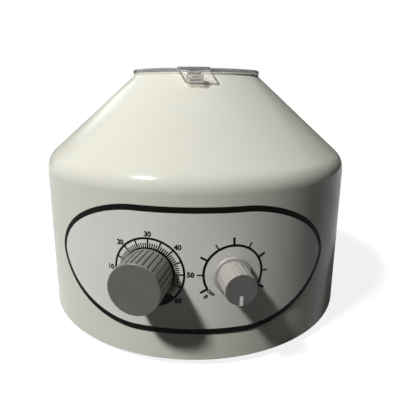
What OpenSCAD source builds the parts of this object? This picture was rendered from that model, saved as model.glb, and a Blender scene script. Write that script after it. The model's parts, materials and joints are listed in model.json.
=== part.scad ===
// Benchtop centrifuge: a moulded dome over a steel base plate, an angle rotor for six tubes,
// a see-through hinged lid with a snap clip, a clockwork timer and a speed control.
// Millimetres, +Z up. The origin is on the bench, on the rotor's axis; the controls face -Y.

/* [Housing] */
// Outside diameter of the wall at its bottom rim
base_d = 275; // [268:1:290]
// Outside diameter where the wall would meet the cone
shoulder_d = 270; // [264:1:284]
// Height of the wall, from the bottom rim to the shoulder corner
wall_h = 131; // [126:1:150]
// Height of the cone, from the shoulder corner to the top of the mouth rim
cone_h = 70.5; // [64:0.5:84]
// Outside diameter of the mouth rim
rim_d = 113.5; // [108:0.5:122]
// Height of the upright mouth rim
rim_h = 2; // [1:0.25:4]
// Thickness of the mouth rim
rim_t = 4; // [3:0.25:5]
// Thickness of the moulded shell
shell_t = 3; // [2.5:0.1:4]
// Outside radius that blends the wall into the cone
shoulder_fillet = 18; // [8:1:24]
// Number of screw bosses that carry the base plate
base_boss_count = 6; // [4:1:6]
// Number of screw bosses that carry the chamber bowl
bowl_boss_count = 6; // [3:1:8]

/* [Base] */
// Height of the bottom rim above the bench
rim_lift = 6; // [5:0.5:12]
// How far the base plate sits up inside the rim
base_recess = 3; // [2.5:0.5:6]
// Thickness of the base plate
base_plate_t = 2; // [1.5:0.1:3]
// Diameter of a foot
foot_d = 26; // [18:1:32]
// Radius of the circle that the feet stand on
foot_pitch_r = 106; // [98:1:110]
// Number of vent slots in the base plate
vent_count = 13; // [6:1:15]
// How far the mains gland stands out of the wall
gland_out = 9; // [6:0.5:14]

/* [Lid] */
// Thickness of the lid
lid_t = 3; // [2.5:0.25:5]
// How far the lid reaches past the mouth rim
lid_over = 0.25; // [0:0.05:1]
// Depth of the ring that locates the lid in the mouth
spigot_h = 3; // [2:0.25:5]
// Width of the tongue that lifts the lid
tongue_w = 24.6; // [22:0.2:32]
// How far the tongue reaches past the mouth rim
tongue_reach = 12.8; // [12.6:0.1:17]
// Thickness of the tongue
tongue_t = 2.6; // [2:0.1:3]
// How far the tongue stands above the lid
tongue_raise = 0; // [0:0.1:1.5]
// Diameter of the hinge pin
hinge_pin_d = 3; // [2:0.25:3.5]
// Diameter of the hinge knuckles
hinge_knuckle_d = 7; // [6:0.5:8]
// Distance of the hinge pin behind the mouth rim
hinge_back = 6; // [5.5:0.25:9]
// Width of the lid's hinge knuckle
hinge_w = 17; // [10:1:24]
// Width of each hinge lug of the housing
lug_w = 5; // [4:0.5:8]

/* [Latch] */
// Distance of the catch's front from the mouth rim
catch_reach = 7; // [6:0.1:7.5]
// Width of the snap clip
clip_w = 13; // [11:0.5:15]
// Place of the snap clip's middle
clip_x = 1; // [-1:0.25:2]
// Thickness of the clip's cheeks
clip_cheek_t = 1.6; // [1.2:0.1:2.2]
// Diameter of the clip's pin
clip_pin_d = 1.6; // [1.2:0.1:1.8]

/* [Control panel] */
// Width of the panel foil, along the wall
label_w = 228; // [200:1:236]
// Height of the panel foil
label_h = 93.4; // [84:0.2:96]
// Width of the foil's black border
border_w = 4.2; // [2:0.1:6]
// Thickness of the foil
label_t = 0.4; // [0.2:0.05:0.6]
// Height of the foil's middle above the bottom rim
label_mid = 68.5; // [62:0.5:70]
// Height of the knobs' axes above the bottom rim
control_mid = 67.5; // [62:0.5:72]
// Place of the timer along the wall, left of the middle
timer_arc = 28.5; // [26:0.5:36]
// Place of the speed control along the wall, right of the middle
speed_arc = 28.8; // [26:0.2:40]

/* [Timer] */
// Diameter of the timer knob's face
timer_knob_d = 36; // [30:0.5:40]
// Distance of the timer knob's face from the wall
timer_knob_l = 26.5; // [22:0.5:30]
// Number of flutes on the timer knob
timer_flutes = 30; // [24:1:36]
// Side of the square timer case
timer_case_w = 44; // [36:1:48]
// Depth of the timer case
timer_case_l = 20; // [14:1:22]
// Diameter of the control shafts
control_shaft_d = 6; // [5:0.25:6.5]

/* [Speed control] */
// Diameter of the speed knob's face
speed_knob_d = 21.5; // [20:0.5:25]
// Distance of the speed knob's face from the wall
speed_knob_l = 24; // [21:0.2:28]
// Diameter of the speed knob's skirt
speed_skirt_d = 27; // [26:0.5:31]
// Number of flutes on the speed knob
speed_flutes = 14; // [12:1:20]
// Diameter of the speed control's case
pot_d = 24; // [18:1:28]
// Depth of the speed control's case
pot_l = 12; // [8:1:16]

/* [Rotor] */
// Bore of a tube sleeve
tube_bore_d = 22; // [17:0.5:22]
// Wall of a tube sleeve
sleeve_t = 1.5; // [1:0.1:1.6]
// Depth of a sleeve below its flange
sleeve_l = 80; // [70:1:84]
// Lean of the tubes from upright
tube_tilt = 30; // [25:1:35]
// Number of tubes
tube_count = 6; // [4:1:6]
// Radius of the circle of sleeve mouths
mouth_circle_r = 36; // [34.5:0.5:37]
// Thickness of the rotor's dish
dish_t = 6; // [4:0.5:8]
// Outside diameter of the rotor's dish
dish_d = 103; // [102:0.5:106]
// Height of the rotor's hub
hub_h = 34; // [24:1:38]
// Diameter of the rotor's hub
hub_d = 30; // [26:1:32]

/* [Motor] */
// Outside diameter of the motor
motor_d = 66; // [62:1:72]
// Height of the motor's can
can_h = 38; // [37:0.5:42]
// Height of the motor's end bell
bell_h = 8; // [7:0.5:10]
// Diameter of the spindle
spindle_d = 8; // [7:0.25:9]
// Height of the rubber motor mounts
isolator_h = 14; // [10:1:18]
// Radius of the circle that the motor mounts stand on
isolator_pitch_r = 48; // [46:1:52]
// Thickness of the motor plate
motor_plate_t = 2.5; // [2:0.25:4]
// Outside diameter of the chamber bowl
bowl_d = 196; // [190:1:200]
// Thickness of the chamber bowl
bowl_t = 2; // [1.5:0.1:3]

/* [Hidden] */
$fn = 96;
arc_steps = 8;
touch = 0.01;
run_gap = 0.06;
slip_gap = 0.3;
foil_glue = 0.05;

// Levels of the base
rim_z = rim_lift;
plate_z = rim_z + base_recess;
plate_top = plate_z + base_plate_t;

// Levels and radii of the housing
base_r = base_d / 2;
shoulder_r = shoulder_d / 2;
rim_r = rim_d / 2;
mouth_r = rim_r - rim_t;
shoulder_z = rim_z + wall_h;
top_z = shoulder_z + cone_h;
neck_z = top_z - rim_h;

// Levels of the motor and the chamber bowl
motor_z = plate_top + isolator_h + motor_plate_t;
can_z = motor_z + bell_h;
can_top = can_z + can_h;
bowl_gap = 3.5;
floor_top = can_top + bowl_gap + bowl_t;
bowl_r = bowl_d / 2;
flange_drop = 4;
flange_z = shoulder_z - flange_drop;
flange_clear = 13;
flange_w = shoulder_r - flange_clear - bowl_r;

// Levels of the rotor
tube_r = tube_bore_d / 2;
sleeve_r = tube_r + sleeve_t;
sleeve_lift = 7;
seat_z = floor_top + sleeve_lift + sleeve_r * sin(tube_tilt) + sleeve_l * cos(tube_tilt);
hub_r = hub_d / 2;
hub_top = seat_z - (mouth_circle_r - hub_r) * tan(tube_tilt) + 1.5;
hub_z = hub_top - hub_h;
spindle_r = spindle_d / 2;

// Fasteners: shank and head radii, head height
screw_r = 2;
screw_head_r = 3.5;
screw_head_h = 2.2;
screw_hole_r = screw_r + 0.3;

// Points and shapes used in many places

function unit(v) = v / norm(v);
function wrap(a) = a > 180 ? a - 360 : a < -180 ? a + 360 : a;
function flat(p) = [p.x, p.y];
function radius_at(p) = is_undef(p[2]) ? 0 : p[2];

// Where the line through p along u meets the line through q along v
function meet(p, u, q, v) = p + u * cross(q - p, v) / cross(u, v);

// The corner b between a and c, rounded by radius r
function corner(a, b, c, r) =
    r <= 0 ? [b] :
    let (u = unit(a - b), v = unit(c - b),
         half = acos(u * v) / 2,
         centre = b + unit(u + v) * r / sin(half),
         first = b + u * r / tan(half) - centre,
         last = b + v * r / tan(half) - centre,
         start = atan2(first.y, first.x),
         turn = wrap(atan2(last.y, last.x) - start))
    [for (i = [0:arc_steps])
        centre + r * [cos(start + turn * i / arc_steps), sin(start + turn * i / arc_steps)]];

// A closed outline whose points are [x, y] or [x, y, corner radius]
function rounded(path) =
    let (n = len(path))
    [for (i = [0:n - 1])
        each corner(flat(path[(i + n - 1) % n]), flat(path[i]), flat(path[(i + 1) % n]),
                    radius_at(path[i]))];

// Copies its children around the axis
module around(count, first = 0, r = 0) {
    for (i = [0:count - 1])
        rotate([0, 0, first + 360 * i / count])
            translate([r, 0, 0])
                children();
}

module revolve(path) {
    rotate_extrude()
        polygon(rounded(path));
}

module tube(r_out, r_in, h) {
    difference() {
        cylinder(r = r_out, h = h);
        translate([0, 0, -1])
            cylinder(r = r_in, h = h + 2);
    }
}

module hexagon_nut(across, h, bore_r) {
    difference() {
        cylinder(d = across / cos(30), h = h, $fn = 6);
        translate([0, 0, -1])
            cylinder(r = bore_r, h = h + 2);
    }
}

// A pan-head screw whose head sits below z = 0 and whose shank points up
module pan_screw(shank_l) {
    union() {
        cylinder(r = screw_r, h = shank_l);
        translate([0, 0, -screw_head_h])
            cylinder(r1 = screw_head_r - 0.6, r2 = screw_head_r, h = screw_head_h);
    }
}

// A straight slot with round ends, along X, centred
module slot_cut(l, w, h) {
    union() {
        translate([-(l - w) / 2, -w / 2, 0])
            cube([l - w, w, h]);
        for (s = [-1, 1])
            translate([s * (l - w) / 2, 0, 0])
                cylinder(d = w, h = h, $fn = 32);
    }
}

// Housing shell

wall_dir = [shoulder_r - base_r, wall_h];
cone_dir = [rim_r - shoulder_r, cone_h - rim_h];
cone_slope = -cone_dir.y / cone_dir.x;
inner_cone = [shoulder_r, shoulder_z] + shell_t * unit([-cone_dir.y, cone_dir.x]);
inner_base = [base_r - shell_t, rim_z];
inner_shoulder = meet(inner_base, wall_dir, inner_cone, cone_dir);
inner_neck = meet([mouth_r, 0], [0, 1], inner_cone, cone_dir);
edge_r = 0.8;
neck_fillet = 2;

outer_path = [
    [base_r, rim_z, edge_r],
    [shoulder_r, shoulder_z, shoulder_fillet],
    [rim_r, neck_z, neck_fillet],
    [rim_r, top_z, edge_r]
];
inner_path = [
    [mouth_r, top_z, edge_r],
    inner_neck,
    [inner_shoulder.x, inner_shoulder.y, shoulder_fillet - shell_t],
    inner_base
];

function wall_r(z) = base_r + (shoulder_r - base_r) * (z - rim_z) / wall_h;

base_boss_r = 6;
base_boss_h = 30;
base_boss_pitch_r = base_r - shell_t - base_boss_r + 1;
base_pilot_l = 14;
gusset_count = 6;
gusset_first = 30;
gusset_t = 3;
gusset_l = 16;
gusset_h = 10;
bowl_boss_r = 5.5;
bowl_boss_pitch_r = bowl_r + flange_w * 5 / 8;
bowl_screw_angle = 30;
bowl_pilot_l = 9;
wall_draft = atan2(base_r - shoulder_r, wall_h);
pad_l = shell_t + pow(timer_case_w / 2, 2) / (2 * (shoulder_r - shell_t)) + 0.6;
control_z = rim_z + control_mid;
gland_z = rim_z + 26;
timer_angle = -timer_arc / wall_r(control_z) * 180 / PI;
speed_angle = speed_arc / wall_r(control_z) * 180 / PI;
rear_angle = 180;

// Puts children on the wall: local +Z points straight out of it, +Y points up
module on_wall(angle, z) {
    rotate([0, 0, angle])
        translate([0, -wall_r(z), z])
            rotate([90 - wall_draft, 0, 0])
                children();
}

// A flat pad inside the wall, for something that is screwed to it
module wall_pad(angle, z, r) {
    on_wall(angle, z)
        translate([0, 0, -pad_l])
            cylinder(r = r, h = pad_l);
}

module wall_hole(angle, z, r) {
    on_wall(angle, z)
        translate([0, 0, -3 * pad_l])
            cylinder(r = r, h = 6 * pad_l);
}

// The catch on the cone that the snap clip springs over, held in the skin by a peg
clip_gap = 0.5;
catch_r = rim_r + catch_reach;
catch_w = clip_w - 2 * clip_cheek_t - 2 * clip_gap;
catch_back = 3;
catch_out = 1.6;
catch_top_out = 0.4;
catch_step = 0.3;
catch_lip = 0.8;
catch_h = 4.4;
catch_peg_r = 1.1;
catch_peg_l = shell_t * 5 / 6;
catch_peg_at = catch_r - catch_back / 2;

function cone_z(r) = neck_z - (r - rim_r) * cone_slope;

catch_z = cone_z(catch_r) + catch_step;

module catch_peg(grow) {
    translate([clip_x, -catch_peg_at, cone_z(catch_peg_at) - catch_peg_l - grow])
        cylinder(r = catch_peg_r + grow, h = catch_peg_l + catch_h / 2 + grow);
}

module latch_catch() {
    color("ivory")
        union() {
            translate([clip_x - catch_w / 2, 0, 0])
                rotate([90, 0, 90])
                    linear_extrude(height = catch_w)
                        polygon([
                            [-catch_r + catch_back, cone_z(catch_r - catch_back) + 2 * touch],
                            [-catch_r, cone_z(catch_r) + 2 * touch],
                            [-catch_r, catch_z],
                            [-catch_r - catch_out, catch_z],
                            [-catch_r - catch_out, catch_z + catch_lip],
                            [-catch_r - catch_top_out, catch_z + catch_h],
                            [-catch_r + catch_back, catch_z + catch_h]
                        ]);
            catch_peg(0);
        }
}

// The hinge behind the mouth
hinge_y = rim_r + hinge_back;
hinge_z = top_z + lid_t / 2;
hinge_r = hinge_knuckle_d / 2;
lug_x = hinge_w / 2 + slip_gap;
lug_drop = 1;

module hinge_lugs() {
    for (s = [0, 1])
        mirror([s, 0, 0])
            translate([lug_x, 0, 0])
                rotate([90, 0, 90])
                    linear_extrude(height = lug_w)
                        union() {
                            translate([hinge_y, hinge_z])
                                circle(r = hinge_r);
                            polygon([
                                [hinge_y - hinge_r, hinge_z],
                                [hinge_y - hinge_r, top_z - lug_drop],
                                [rim_r - rim_t / 2, top_z - lug_drop],
                                [rim_r - rim_t / 2, neck_z - shell_t / 2],
                                [hinge_y + hinge_r, neck_z - shell_t / 2 - (hinge_back + hinge_r) * cone_slope],
                                [hinge_y + hinge_r, hinge_z]
                            ]);
                        }
}

module shell_skin() {
    revolve(concat(outer_path, inner_path));
}

module shell_envelope() {
    revolve(concat([[0, rim_z]], outer_path, [[0, top_z]]));
}

// Gussets inside the wall, whose lower ends carry the base plate between its screws
module wall_gussets() {
    inner = wall_r(plate_top) - shell_t;
    around(gusset_count, gusset_first)
        rotate([90, 0, 0])
            translate([0, 0, -gusset_t / 2])
                linear_extrude(height = gusset_t)
                    polygon([
                        [inner - gusset_l, plate_top],
                        [inner + shell_t / 2, plate_top],
                        [inner + shell_t / 2, plate_top + gusset_h],
                        [inner - gusset_l, plate_top + gusset_t]
                    ]);
}

module shell_inside_features() {
    intersection() {
        union() {
            around(base_boss_count, 0, base_boss_pitch_r)
                translate([0, 0, plate_top])
                    cylinder(r = base_boss_r, h = base_boss_h);
            wall_gussets();
            around(bowl_boss_count, bowl_screw_angle, bowl_boss_pitch_r)
                translate([0, 0, flange_z])
                    cylinder(r = bowl_boss_r, h = cone_h / 2);
            wall_pad(timer_angle, control_z, timer_pad_r);
            wall_pad(speed_angle, control_z, speed_pad_r);
            wall_pad(rear_angle, gland_z, gland_pad_r);
        }
        shell_envelope();
    }
}

timer_pad_r = 13;
speed_pad_r = 11;
gland_pad_r = 12;

module housing_shell() {
    color("ivory")
        difference() {
            union() {
                shell_skin();
                shell_inside_features();
                hinge_lugs();
            }
            catch_peg(touch);
            around(base_boss_count, 0, base_boss_pitch_r)
                translate([0, 0, plate_top - 1])
                    cylinder(r = screw_r + touch, h = base_pilot_l + 1);
            around(bowl_boss_count, bowl_screw_angle, bowl_boss_pitch_r)
                translate([0, 0, flange_z - 1])
                    cylinder(r = screw_r + touch, h = bowl_pilot_l + 1);
            wall_hole(timer_angle, control_z, timer_bush_r + slip_gap);
            wall_hole(speed_angle, control_z, pot_bush_r + slip_gap);
            wall_hole(rear_angle, gland_z, gland_body_r + slip_gap);
            translate([-lug_x - lug_w - 1, hinge_y, hinge_z])
                rotate([0, 90, 0])
                    cylinder(r = hinge_pin_d / 2 + touch, h = 2 * (lug_x + lug_w) + 2);
        }
}

// Base plate, feet and their screws

base_gap = 0.5;
plate_r = base_r - shell_t - base_gap;
foot_stem_r = 4;
foot_count = 4;
foot_first = 45;
vent_l = 26;
vent_w = 4;
vent_pitch_r = 80;
vent_spread = 240;
motor_hole_r = 12;

module base_plate() {
    color("silver")
        difference() {
            translate([0, 0, plate_z])
                cylinder(r = plate_r, h = base_plate_t);
            translate([0, 0, plate_z - 1]) {
                cylinder(r = motor_hole_r, h = base_plate_t + 2);
                around(base_boss_count, 0, base_boss_pitch_r)
                    cylinder(r = screw_hole_r, h = base_plate_t + 2);
                around(foot_count, foot_first, foot_pitch_r)
                    cylinder(r = foot_stem_r + run_gap, h = base_plate_t + 2);
                around(isolator_count, isolator_first, isolator_pitch_r)
                    cylinder(r = stud_r + slip_gap, h = base_plate_t + 2);
                for (i = [0:vent_count - 1])
                    rotate([0, 0, vent_spread * (i / (vent_count - 1) - 0.5)])
                        translate([vent_pitch_r, 0, 0])
                            slot_cut(vent_l, vent_w, base_plate_t + 2);
                board_screw_places()
                    cylinder(r = board_screw_r + slip_gap, h = base_plate_t + 2);
            }
        }
}

foot_neck_gap = 0.05;
foot_cap_h = 3;

module foot(i) {
    color("dimgray")
        rotate([0, 0, foot_first + 360 * (i - 1) / foot_count])
            translate([foot_pitch_r, 0, 0])
                revolve([
                    [0, 1.2],
                    [foot_d / 2 - 5, 1.2, 0.5],
                    [foot_d / 2 - 4, 0],
                    [foot_d / 2 - 1.5, 0, 0.8],
                    [foot_d / 2, 2.5, 1],
                    [foot_d / 2 - 1.5, plate_z],
                    [foot_stem_r, plate_z],
                    [foot_stem_r, plate_top + foot_neck_gap],
                    [foot_stem_r + 1.8, plate_top + foot_neck_gap, 0.4],
                    [foot_stem_r - 1, plate_top + foot_cap_h, 0.6],
                    [0, plate_top + foot_cap_h]
                ]);
}

module base_screws() {
    color("gainsboro")
        around(base_boss_count, 0, base_boss_pitch_r)
            translate([0, 0, plate_z])
                pan_screw(base_plate_t + base_pilot_l - 2);
}

// Panel foil on the front of the wall

label_z = rim_z + label_mid;
foil_top = foil_glue + label_t;
label_power = 1.72;
label_end = 74;
label_steps = 18;

// A lens-like outline: straight in the middle, with ends that follow a superellipse
function label_point(half_w, half_h, end_l, a) = [
    half_w - end_l + end_l * pow(sin(a), 2 / label_power),
    half_h * pow(cos(a), 2 / label_power)
];

function label_quarter(half_w, half_h, end_l) =
    [for (i = [0:label_steps]) label_point(half_w, half_h, end_l, 90 * i / label_steps)];

function on_front(p) = let (r = wall_r(label_z)) [r * sin(p.x / r * 180 / PI), p.y];

module label_plan(inset) {
    quarter = label_quarter(label_w / 2 - inset, label_h / 2 - inset, label_end - inset);
    last = len(quarter) - 1;
    polygon([for (p = concat(
        [for (i = [0:last]) [quarter[i].x, quarter[i].y]],
        [for (i = [last - 1:-1:0]) [quarter[i].x, -quarter[i].y]],
        [for (i = [0:last]) [-quarter[i].x, -quarter[i].y]],
        [for (i = [last - 1:-1:0]) [-quarter[i].x, quarter[i].y]])) on_front(p)]);
}

module foil_ring() {
    low = label_z - label_h / 2 - 1;
    high = label_z + label_h / 2 + 1;
    rotate_extrude()
        polygon([
            [wall_r(low) + foil_glue, low],
            [wall_r(low) + foil_top, low],
            [wall_r(high) + foil_top, high],
            [wall_r(high) + foil_glue, high]
        ]);
}

module on_foil() {
    intersection() {
        foil_ring();
        translate([0, -base_r / 2, label_z])
            rotate([90, 0, 0])
                linear_extrude(height = base_r)
                    children();
    }
}

module panel_label() {
    color("whitesmoke")
        difference() {
            on_foil()
                label_plan(border_w);
            wall_hole(timer_angle, control_z, timer_bush_r + slip_gap);
            wall_hole(speed_angle, control_z, pot_bush_r + slip_gap);
        }
}

module panel_border() {
    color("black")
        on_foil()
            difference() {
                label_plan(0);
                label_plan(border_w);
            }
}

// Timer: case with its threaded bush, nut, shaft and knob

timer_bush_r = 5;
timer_bush_l = 4;
timer_nut_h = 2.6;
timer_nut_across = 14;
control_shaft_r = control_shaft_d / 2;
shaft_in = 12;

module timer_case() {
    color("tan")
        on_wall(timer_angle, control_z)
            difference() {
                union() {
                    translate([0, 0, -pad_l - timer_case_l])
                        linear_extrude(height = timer_case_l)
                            polygon(rounded([for (s = [[-1, -1], [1, -1], [1, 1], [-1, 1]])
                                [s.x * timer_case_w / 2, s.y * timer_case_w / 2, 4]]));
                    translate([0, 0, -pad_l - touch])
                        cylinder(r = timer_bush_r, h = pad_l + timer_bush_l);
                    for (i = [-1, 0, 1])
                        translate([i * 10 - 3, -1, -pad_l - timer_case_l - 7])
                            cube([6, 0.8, 8]);
                }
                translate([0, 0, -pad_l - shaft_in])
                    cylinder(r = control_shaft_r + run_gap, h = 4 * shaft_in);
            }
}

module timer_nut() {
    color("lightgray")
        on_wall(timer_angle, control_z)
            translate([0, 0, foil_top + touch])
                hexagon_nut(timer_nut_across, timer_nut_h, timer_bush_r + run_gap);
}

knob_lift = 1.4;
knob_face_t = 3;
knob_wall = 3;
knob_boss_r = control_shaft_r + 3.2;
knob_cap_l = 1.4;
knob_foot_l = 1.6;
timer_grip_r = timer_knob_d / 2;
knob_chamfer = 0.5;
knob_bore_l = 13;

// A slot with slanted sides along a knob's grip, drawn at radius r and open to the outside
module knob_slot(r, mouth, floor_w, depth, h) {
    slant = (mouth - floor_w) / 2 / depth;
    linear_extrude(height = h)
        polygon([
            [r - depth, -floor_w / 2],
            [r + 1, -mouth / 2 - slant],
            [r + 1, mouth / 2 + slant],
            [r - depth, floor_w / 2]
        ]);
}

module timer_shaft() {
    color("silver")
        on_wall(timer_angle, control_z)
            translate([0, 0, -pad_l - shaft_in + slip_gap])
                cylinder(r = control_shaft_r, h = shaft_in + pad_l + timer_knob_l - knob_face_t - 2 * slip_gap);
}

// A hollow knob with narrow flutes between a plain foot and a plain cap, on a boss that grips the shaft
module timer_knob() {
    top = timer_knob_l;
    mouth = 1.25;
    depth = 1.1;
    color("gray")
        on_wall(timer_angle, control_z)
            difference() {
                revolve([
                    [control_shaft_r + touch, top - knob_face_t],
                    [control_shaft_r + touch, top - knob_face_t - knob_bore_l],
                    [knob_boss_r, top - knob_face_t - knob_bore_l],
                    [knob_boss_r, top - knob_face_t],
                    [timer_grip_r - knob_wall, top - knob_face_t, 1],
                    [timer_grip_r - knob_wall, knob_lift],
                    [timer_grip_r - knob_chamfer, knob_lift],
                    [timer_grip_r, knob_lift + knob_chamfer],
                    [timer_grip_r, top, 0.9],
                    [0, top],
                    [0, top - knob_face_t]
                ]);
                around(timer_flutes, 0)
                    translate([0, 0, knob_lift + knob_foot_l])
                        knob_slot(timer_grip_r, mouth, mouth / 2, depth, top - knob_cap_l - knob_lift - knob_foot_l);
            }
}

// Speed control: case with its threaded bush, nut, shaft, knob and pointer

pot_bush_r = 3.5;
pot_bush_l = 4;
pot_nut_h = 2.2;
pot_nut_across = 10;
switch_l = 8;
switch_step = 1.5;

module pot_case() {
    color("darkslategray")
        on_wall(speed_angle, control_z)
            difference() {
                union() {
                    translate([0, 0, -pad_l - pot_l])
                        cylinder(d = pot_d, h = pot_l);
                    translate([0, 0, -pad_l - pot_l - switch_l])
                        cylinder(d = pot_d - 2 * switch_step, h = switch_l + touch);
                    translate([0, 0, -pad_l - touch])
                        cylinder(r = pot_bush_r, h = pad_l + pot_bush_l);
                    for (i = [-1, 0, 1])
                        translate([i * 5 - 1, -pot_d / 2 - 6, -pad_l - 3])
                            cube([2, 8, 0.8]);
                }
                translate([0, 0, -pad_l - pot_l + 2])
                    cylinder(r = pot_shaft_r + run_gap, h = 4 * pot_l);
            }
}

pot_shaft_r = min(control_shaft_r, pot_bush_r - 0.8);

module pot_nut() {
    color("lightgray")
        on_wall(speed_angle, control_z)
            translate([0, 0, foil_top + touch])
                hexagon_nut(pot_nut_across, pot_nut_h, pot_bush_r + run_gap);
}

module pot_shaft() {
    color("silver")
        on_wall(speed_angle, control_z)
            translate([0, 0, -pad_l - pot_l + 2 + slip_gap])
                cylinder(r = pot_shaft_r, h = pad_l + pot_l - 2 + speed_knob_l - knob_face_t - 2 * slip_gap);
}

speed_skirt_h = 3;
speed_taper = 0.1;
pointer_w = 2.1;
pointer_l = 6.3;
pointer_h = 0.6;
pointer_edge = 0.2;
pointer_raise = 0.3;

module pointer_bar(grow) {
    translate([-pointer_w / 2, -speed_knob_d / 2 + pointer_edge, speed_knob_l - pointer_h])
        cube([pointer_w, pointer_l, pointer_h + grow]);
}

module speed_knob() {
    top = speed_knob_l;
    grip = speed_knob_d / 2;
    foot_r = grip + speed_taper;
    skirt = max(speed_skirt_d / 2, foot_r + 1);
    skirt_round = min(1.1, (skirt - foot_r) / 2);
    flute_r = 0.7;
    color("gainsboro")
        on_wall(speed_angle, control_z)
            difference() {
                revolve([
                    [pot_shaft_r + touch, top - knob_face_t],
                    [pot_shaft_r + touch, top - knob_face_t - knob_bore_l],
                    [pot_shaft_r + 2.4, top - knob_face_t - knob_bore_l],
                    [pot_shaft_r + 2.4, top - knob_face_t],
                    [grip - 2.6, top - knob_face_t, 0.8],
                    [grip - 2.6, knob_lift + speed_skirt_h + 1],
                    [skirt - 2, knob_lift],
                    [skirt, knob_lift, 0.4],
                    [skirt - 0.3, knob_lift + speed_skirt_h, skirt_round],
                    [foot_r, knob_lift + speed_skirt_h, 0.3],
                    [grip, top, 0.7],
                    [0, top],
                    [0, top - knob_face_t]
                ]);
                around(speed_flutes, -90 + 180 / speed_flutes, grip + flute_r * 0.5)
                    translate([0, 0, knob_lift + speed_skirt_h + 0.6])
                        cylinder(r = flute_r, h = top, $fn = 24);
                pointer_bar(1);
            }
}

module speed_pointer() {
    color("white")
        on_wall(speed_angle, control_z)
            pointer_bar(pointer_raise);
}

// Cord gland at the back, left empty

gland_body_r = 6;
gland_bore_r = 3.6;
gland_passage_r = gland_bore_r + 0.9;
gland_bore_z = 2;
gland_flange_r = 9.5;
gland_nut_h = 4;
gland_flange_t = 3;

// A bush that is nutted into the wall, with a wider passage behind the bore for the lead
module cord_gland() {
    inner_end = -pad_l - gland_nut_h - 1.5;
    color("black")
        on_wall(rear_angle, gland_z)
            revolve([
                [gland_passage_r, inner_end],
                [gland_body_r, inner_end],
                [gland_body_r, 0],
                [gland_flange_r, 0],
                [gland_flange_r, gland_flange_t, 0.6],
                [gland_body_r + 1, gland_flange_t, 0.5],
                [gland_bore_r + 1.6, gland_out, 0.8],
                [gland_bore_r, gland_out],
                [gland_bore_r, gland_bore_z],
                [gland_passage_r, gland_bore_z - 1]
            ]);
}

module gland_nut() {
    color("black")
        on_wall(rear_angle, gland_z)
            translate([0, 0, -pad_l - gland_nut_h])
                hexagon_nut(17, gland_nut_h, gland_body_r + run_gap);
}

// Chamber bowl around the rotor, its screws and the shaft seal

collar_r = 16;
collar_h = 14;
collar_hole_r = collar_r - bowl_t;
bowl_fillet = 6;

module chamber_bowl() {
    floor_z = floor_top - bowl_t;
    color("lightsteelblue")
        difference() {
            revolve([
                [collar_hole_r, floor_z, 1],
                [bowl_r, floor_z, bowl_fillet],
                [bowl_r, flange_z - bowl_t, 1.5],
                [bowl_r + flange_w, flange_z - bowl_t],
                [bowl_r + flange_w, flange_z],
                [bowl_r - bowl_t, flange_z, 1.5],
                [bowl_r - bowl_t, floor_top, bowl_fillet - bowl_t],
                [collar_r, floor_top, 1.5],
                [collar_r, floor_top + collar_h, 0.5],
                [collar_hole_r, floor_top + collar_h]
            ]);
            around(bowl_boss_count, bowl_screw_angle, bowl_boss_pitch_r)
                translate([0, 0, flange_z - 2 * bowl_t])
                    cylinder(r = screw_hole_r, h = 4 * bowl_t);
        }
}

module bowl_screws() {
    color("gainsboro")
        around(bowl_boss_count, bowl_screw_angle, bowl_boss_pitch_r)
            translate([0, 0, flange_z - bowl_t])
                pan_screw(bowl_t + bowl_pilot_l - 2);
}

seal_t = 2;
seal_grip = 6;
seal_lip_w = 3;
seal_lip_h = 2;

module shaft_seal() {
    top = floor_top + collar_h;
    color("black")
        revolve([
            [spindle_r + slip_gap, top],
            [collar_r + touch, top],
            [collar_r + touch, top - seal_grip],
            [collar_r + seal_t, top - seal_grip],
            [collar_r + seal_t, top + seal_t, 1],
            [spindle_r + seal_lip_w, top + seal_t + seal_lip_h, 0.6],
            [spindle_r + slip_gap, top + seal_t + seal_lip_h]
        ]);
}

// Motor mounts and motor plate

isolator_count = 3;
isolator_first = 90;
isolator_r = 9;
stud_r = 2.5;
stud_l = 7;
stud_nut_h = 4;
stud_nut_across = 8;

module isolator(i) {
    top = plate_top + isolator_h;
    color("dimgray")
        rotate([0, 0, isolator_first + 360 * (i - 1) / isolator_count])
            translate([isolator_pitch_r, 0, 0])
                revolve([
                    [0, plate_top - stud_l],
                    [stud_r, plate_top - stud_l],
                    [stud_r, plate_top],
                    [isolator_r, plate_top, 0.5],
                    [isolator_r - 2, (plate_top + top) / 2, 8],
                    [isolator_r, top, 0.5],
                    [stud_r, top],
                    [stud_r, top + stud_l + motor_plate_t - base_plate_t],
                    [0, top + stud_l + motor_plate_t - base_plate_t]
                ]);
}

module isolator_nuts() {
    color("gainsboro")
        around(isolator_count, isolator_first, isolator_pitch_r) {
            translate([0, 0, plate_z - stud_nut_h])
                hexagon_nut(stud_nut_across, stud_nut_h, stud_r + run_gap);
            translate([0, 0, motor_z])
                hexagon_nut(stud_nut_across, stud_nut_h, stud_r + run_gap);
        }
}

motor_r = motor_d / 2;
motor_screw_count = 4;
motor_screw_pitch_r = motor_r - 6;
motor_plate_r = isolator_pitch_r + 10;

module motor_plate() {
    color("silver")
        translate([0, 0, motor_z - motor_plate_t])
            difference() {
                cylinder(r = motor_plate_r, h = motor_plate_t);
                translate([0, 0, -1]) {
                    cylinder(r = motor_hole_r, h = motor_plate_t + 2);
                    around(isolator_count, isolator_first, isolator_pitch_r)
                        cylinder(r = stud_r + slip_gap, h = motor_plate_t + 2);
                    around(motor_screw_count, 45, motor_screw_pitch_r)
                        cylinder(r = screw_hole_r, h = motor_plate_t + 2);
                }
            }
}

module motor_screws() {
    color("gainsboro")
        around(motor_screw_count, 45, motor_screw_pitch_r)
            translate([0, 0, motor_z - motor_plate_t])
                pan_screw(motor_plate_t + bell_h - 2);
}

// Motor: can, end bell, bearings, field, brushes

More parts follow.
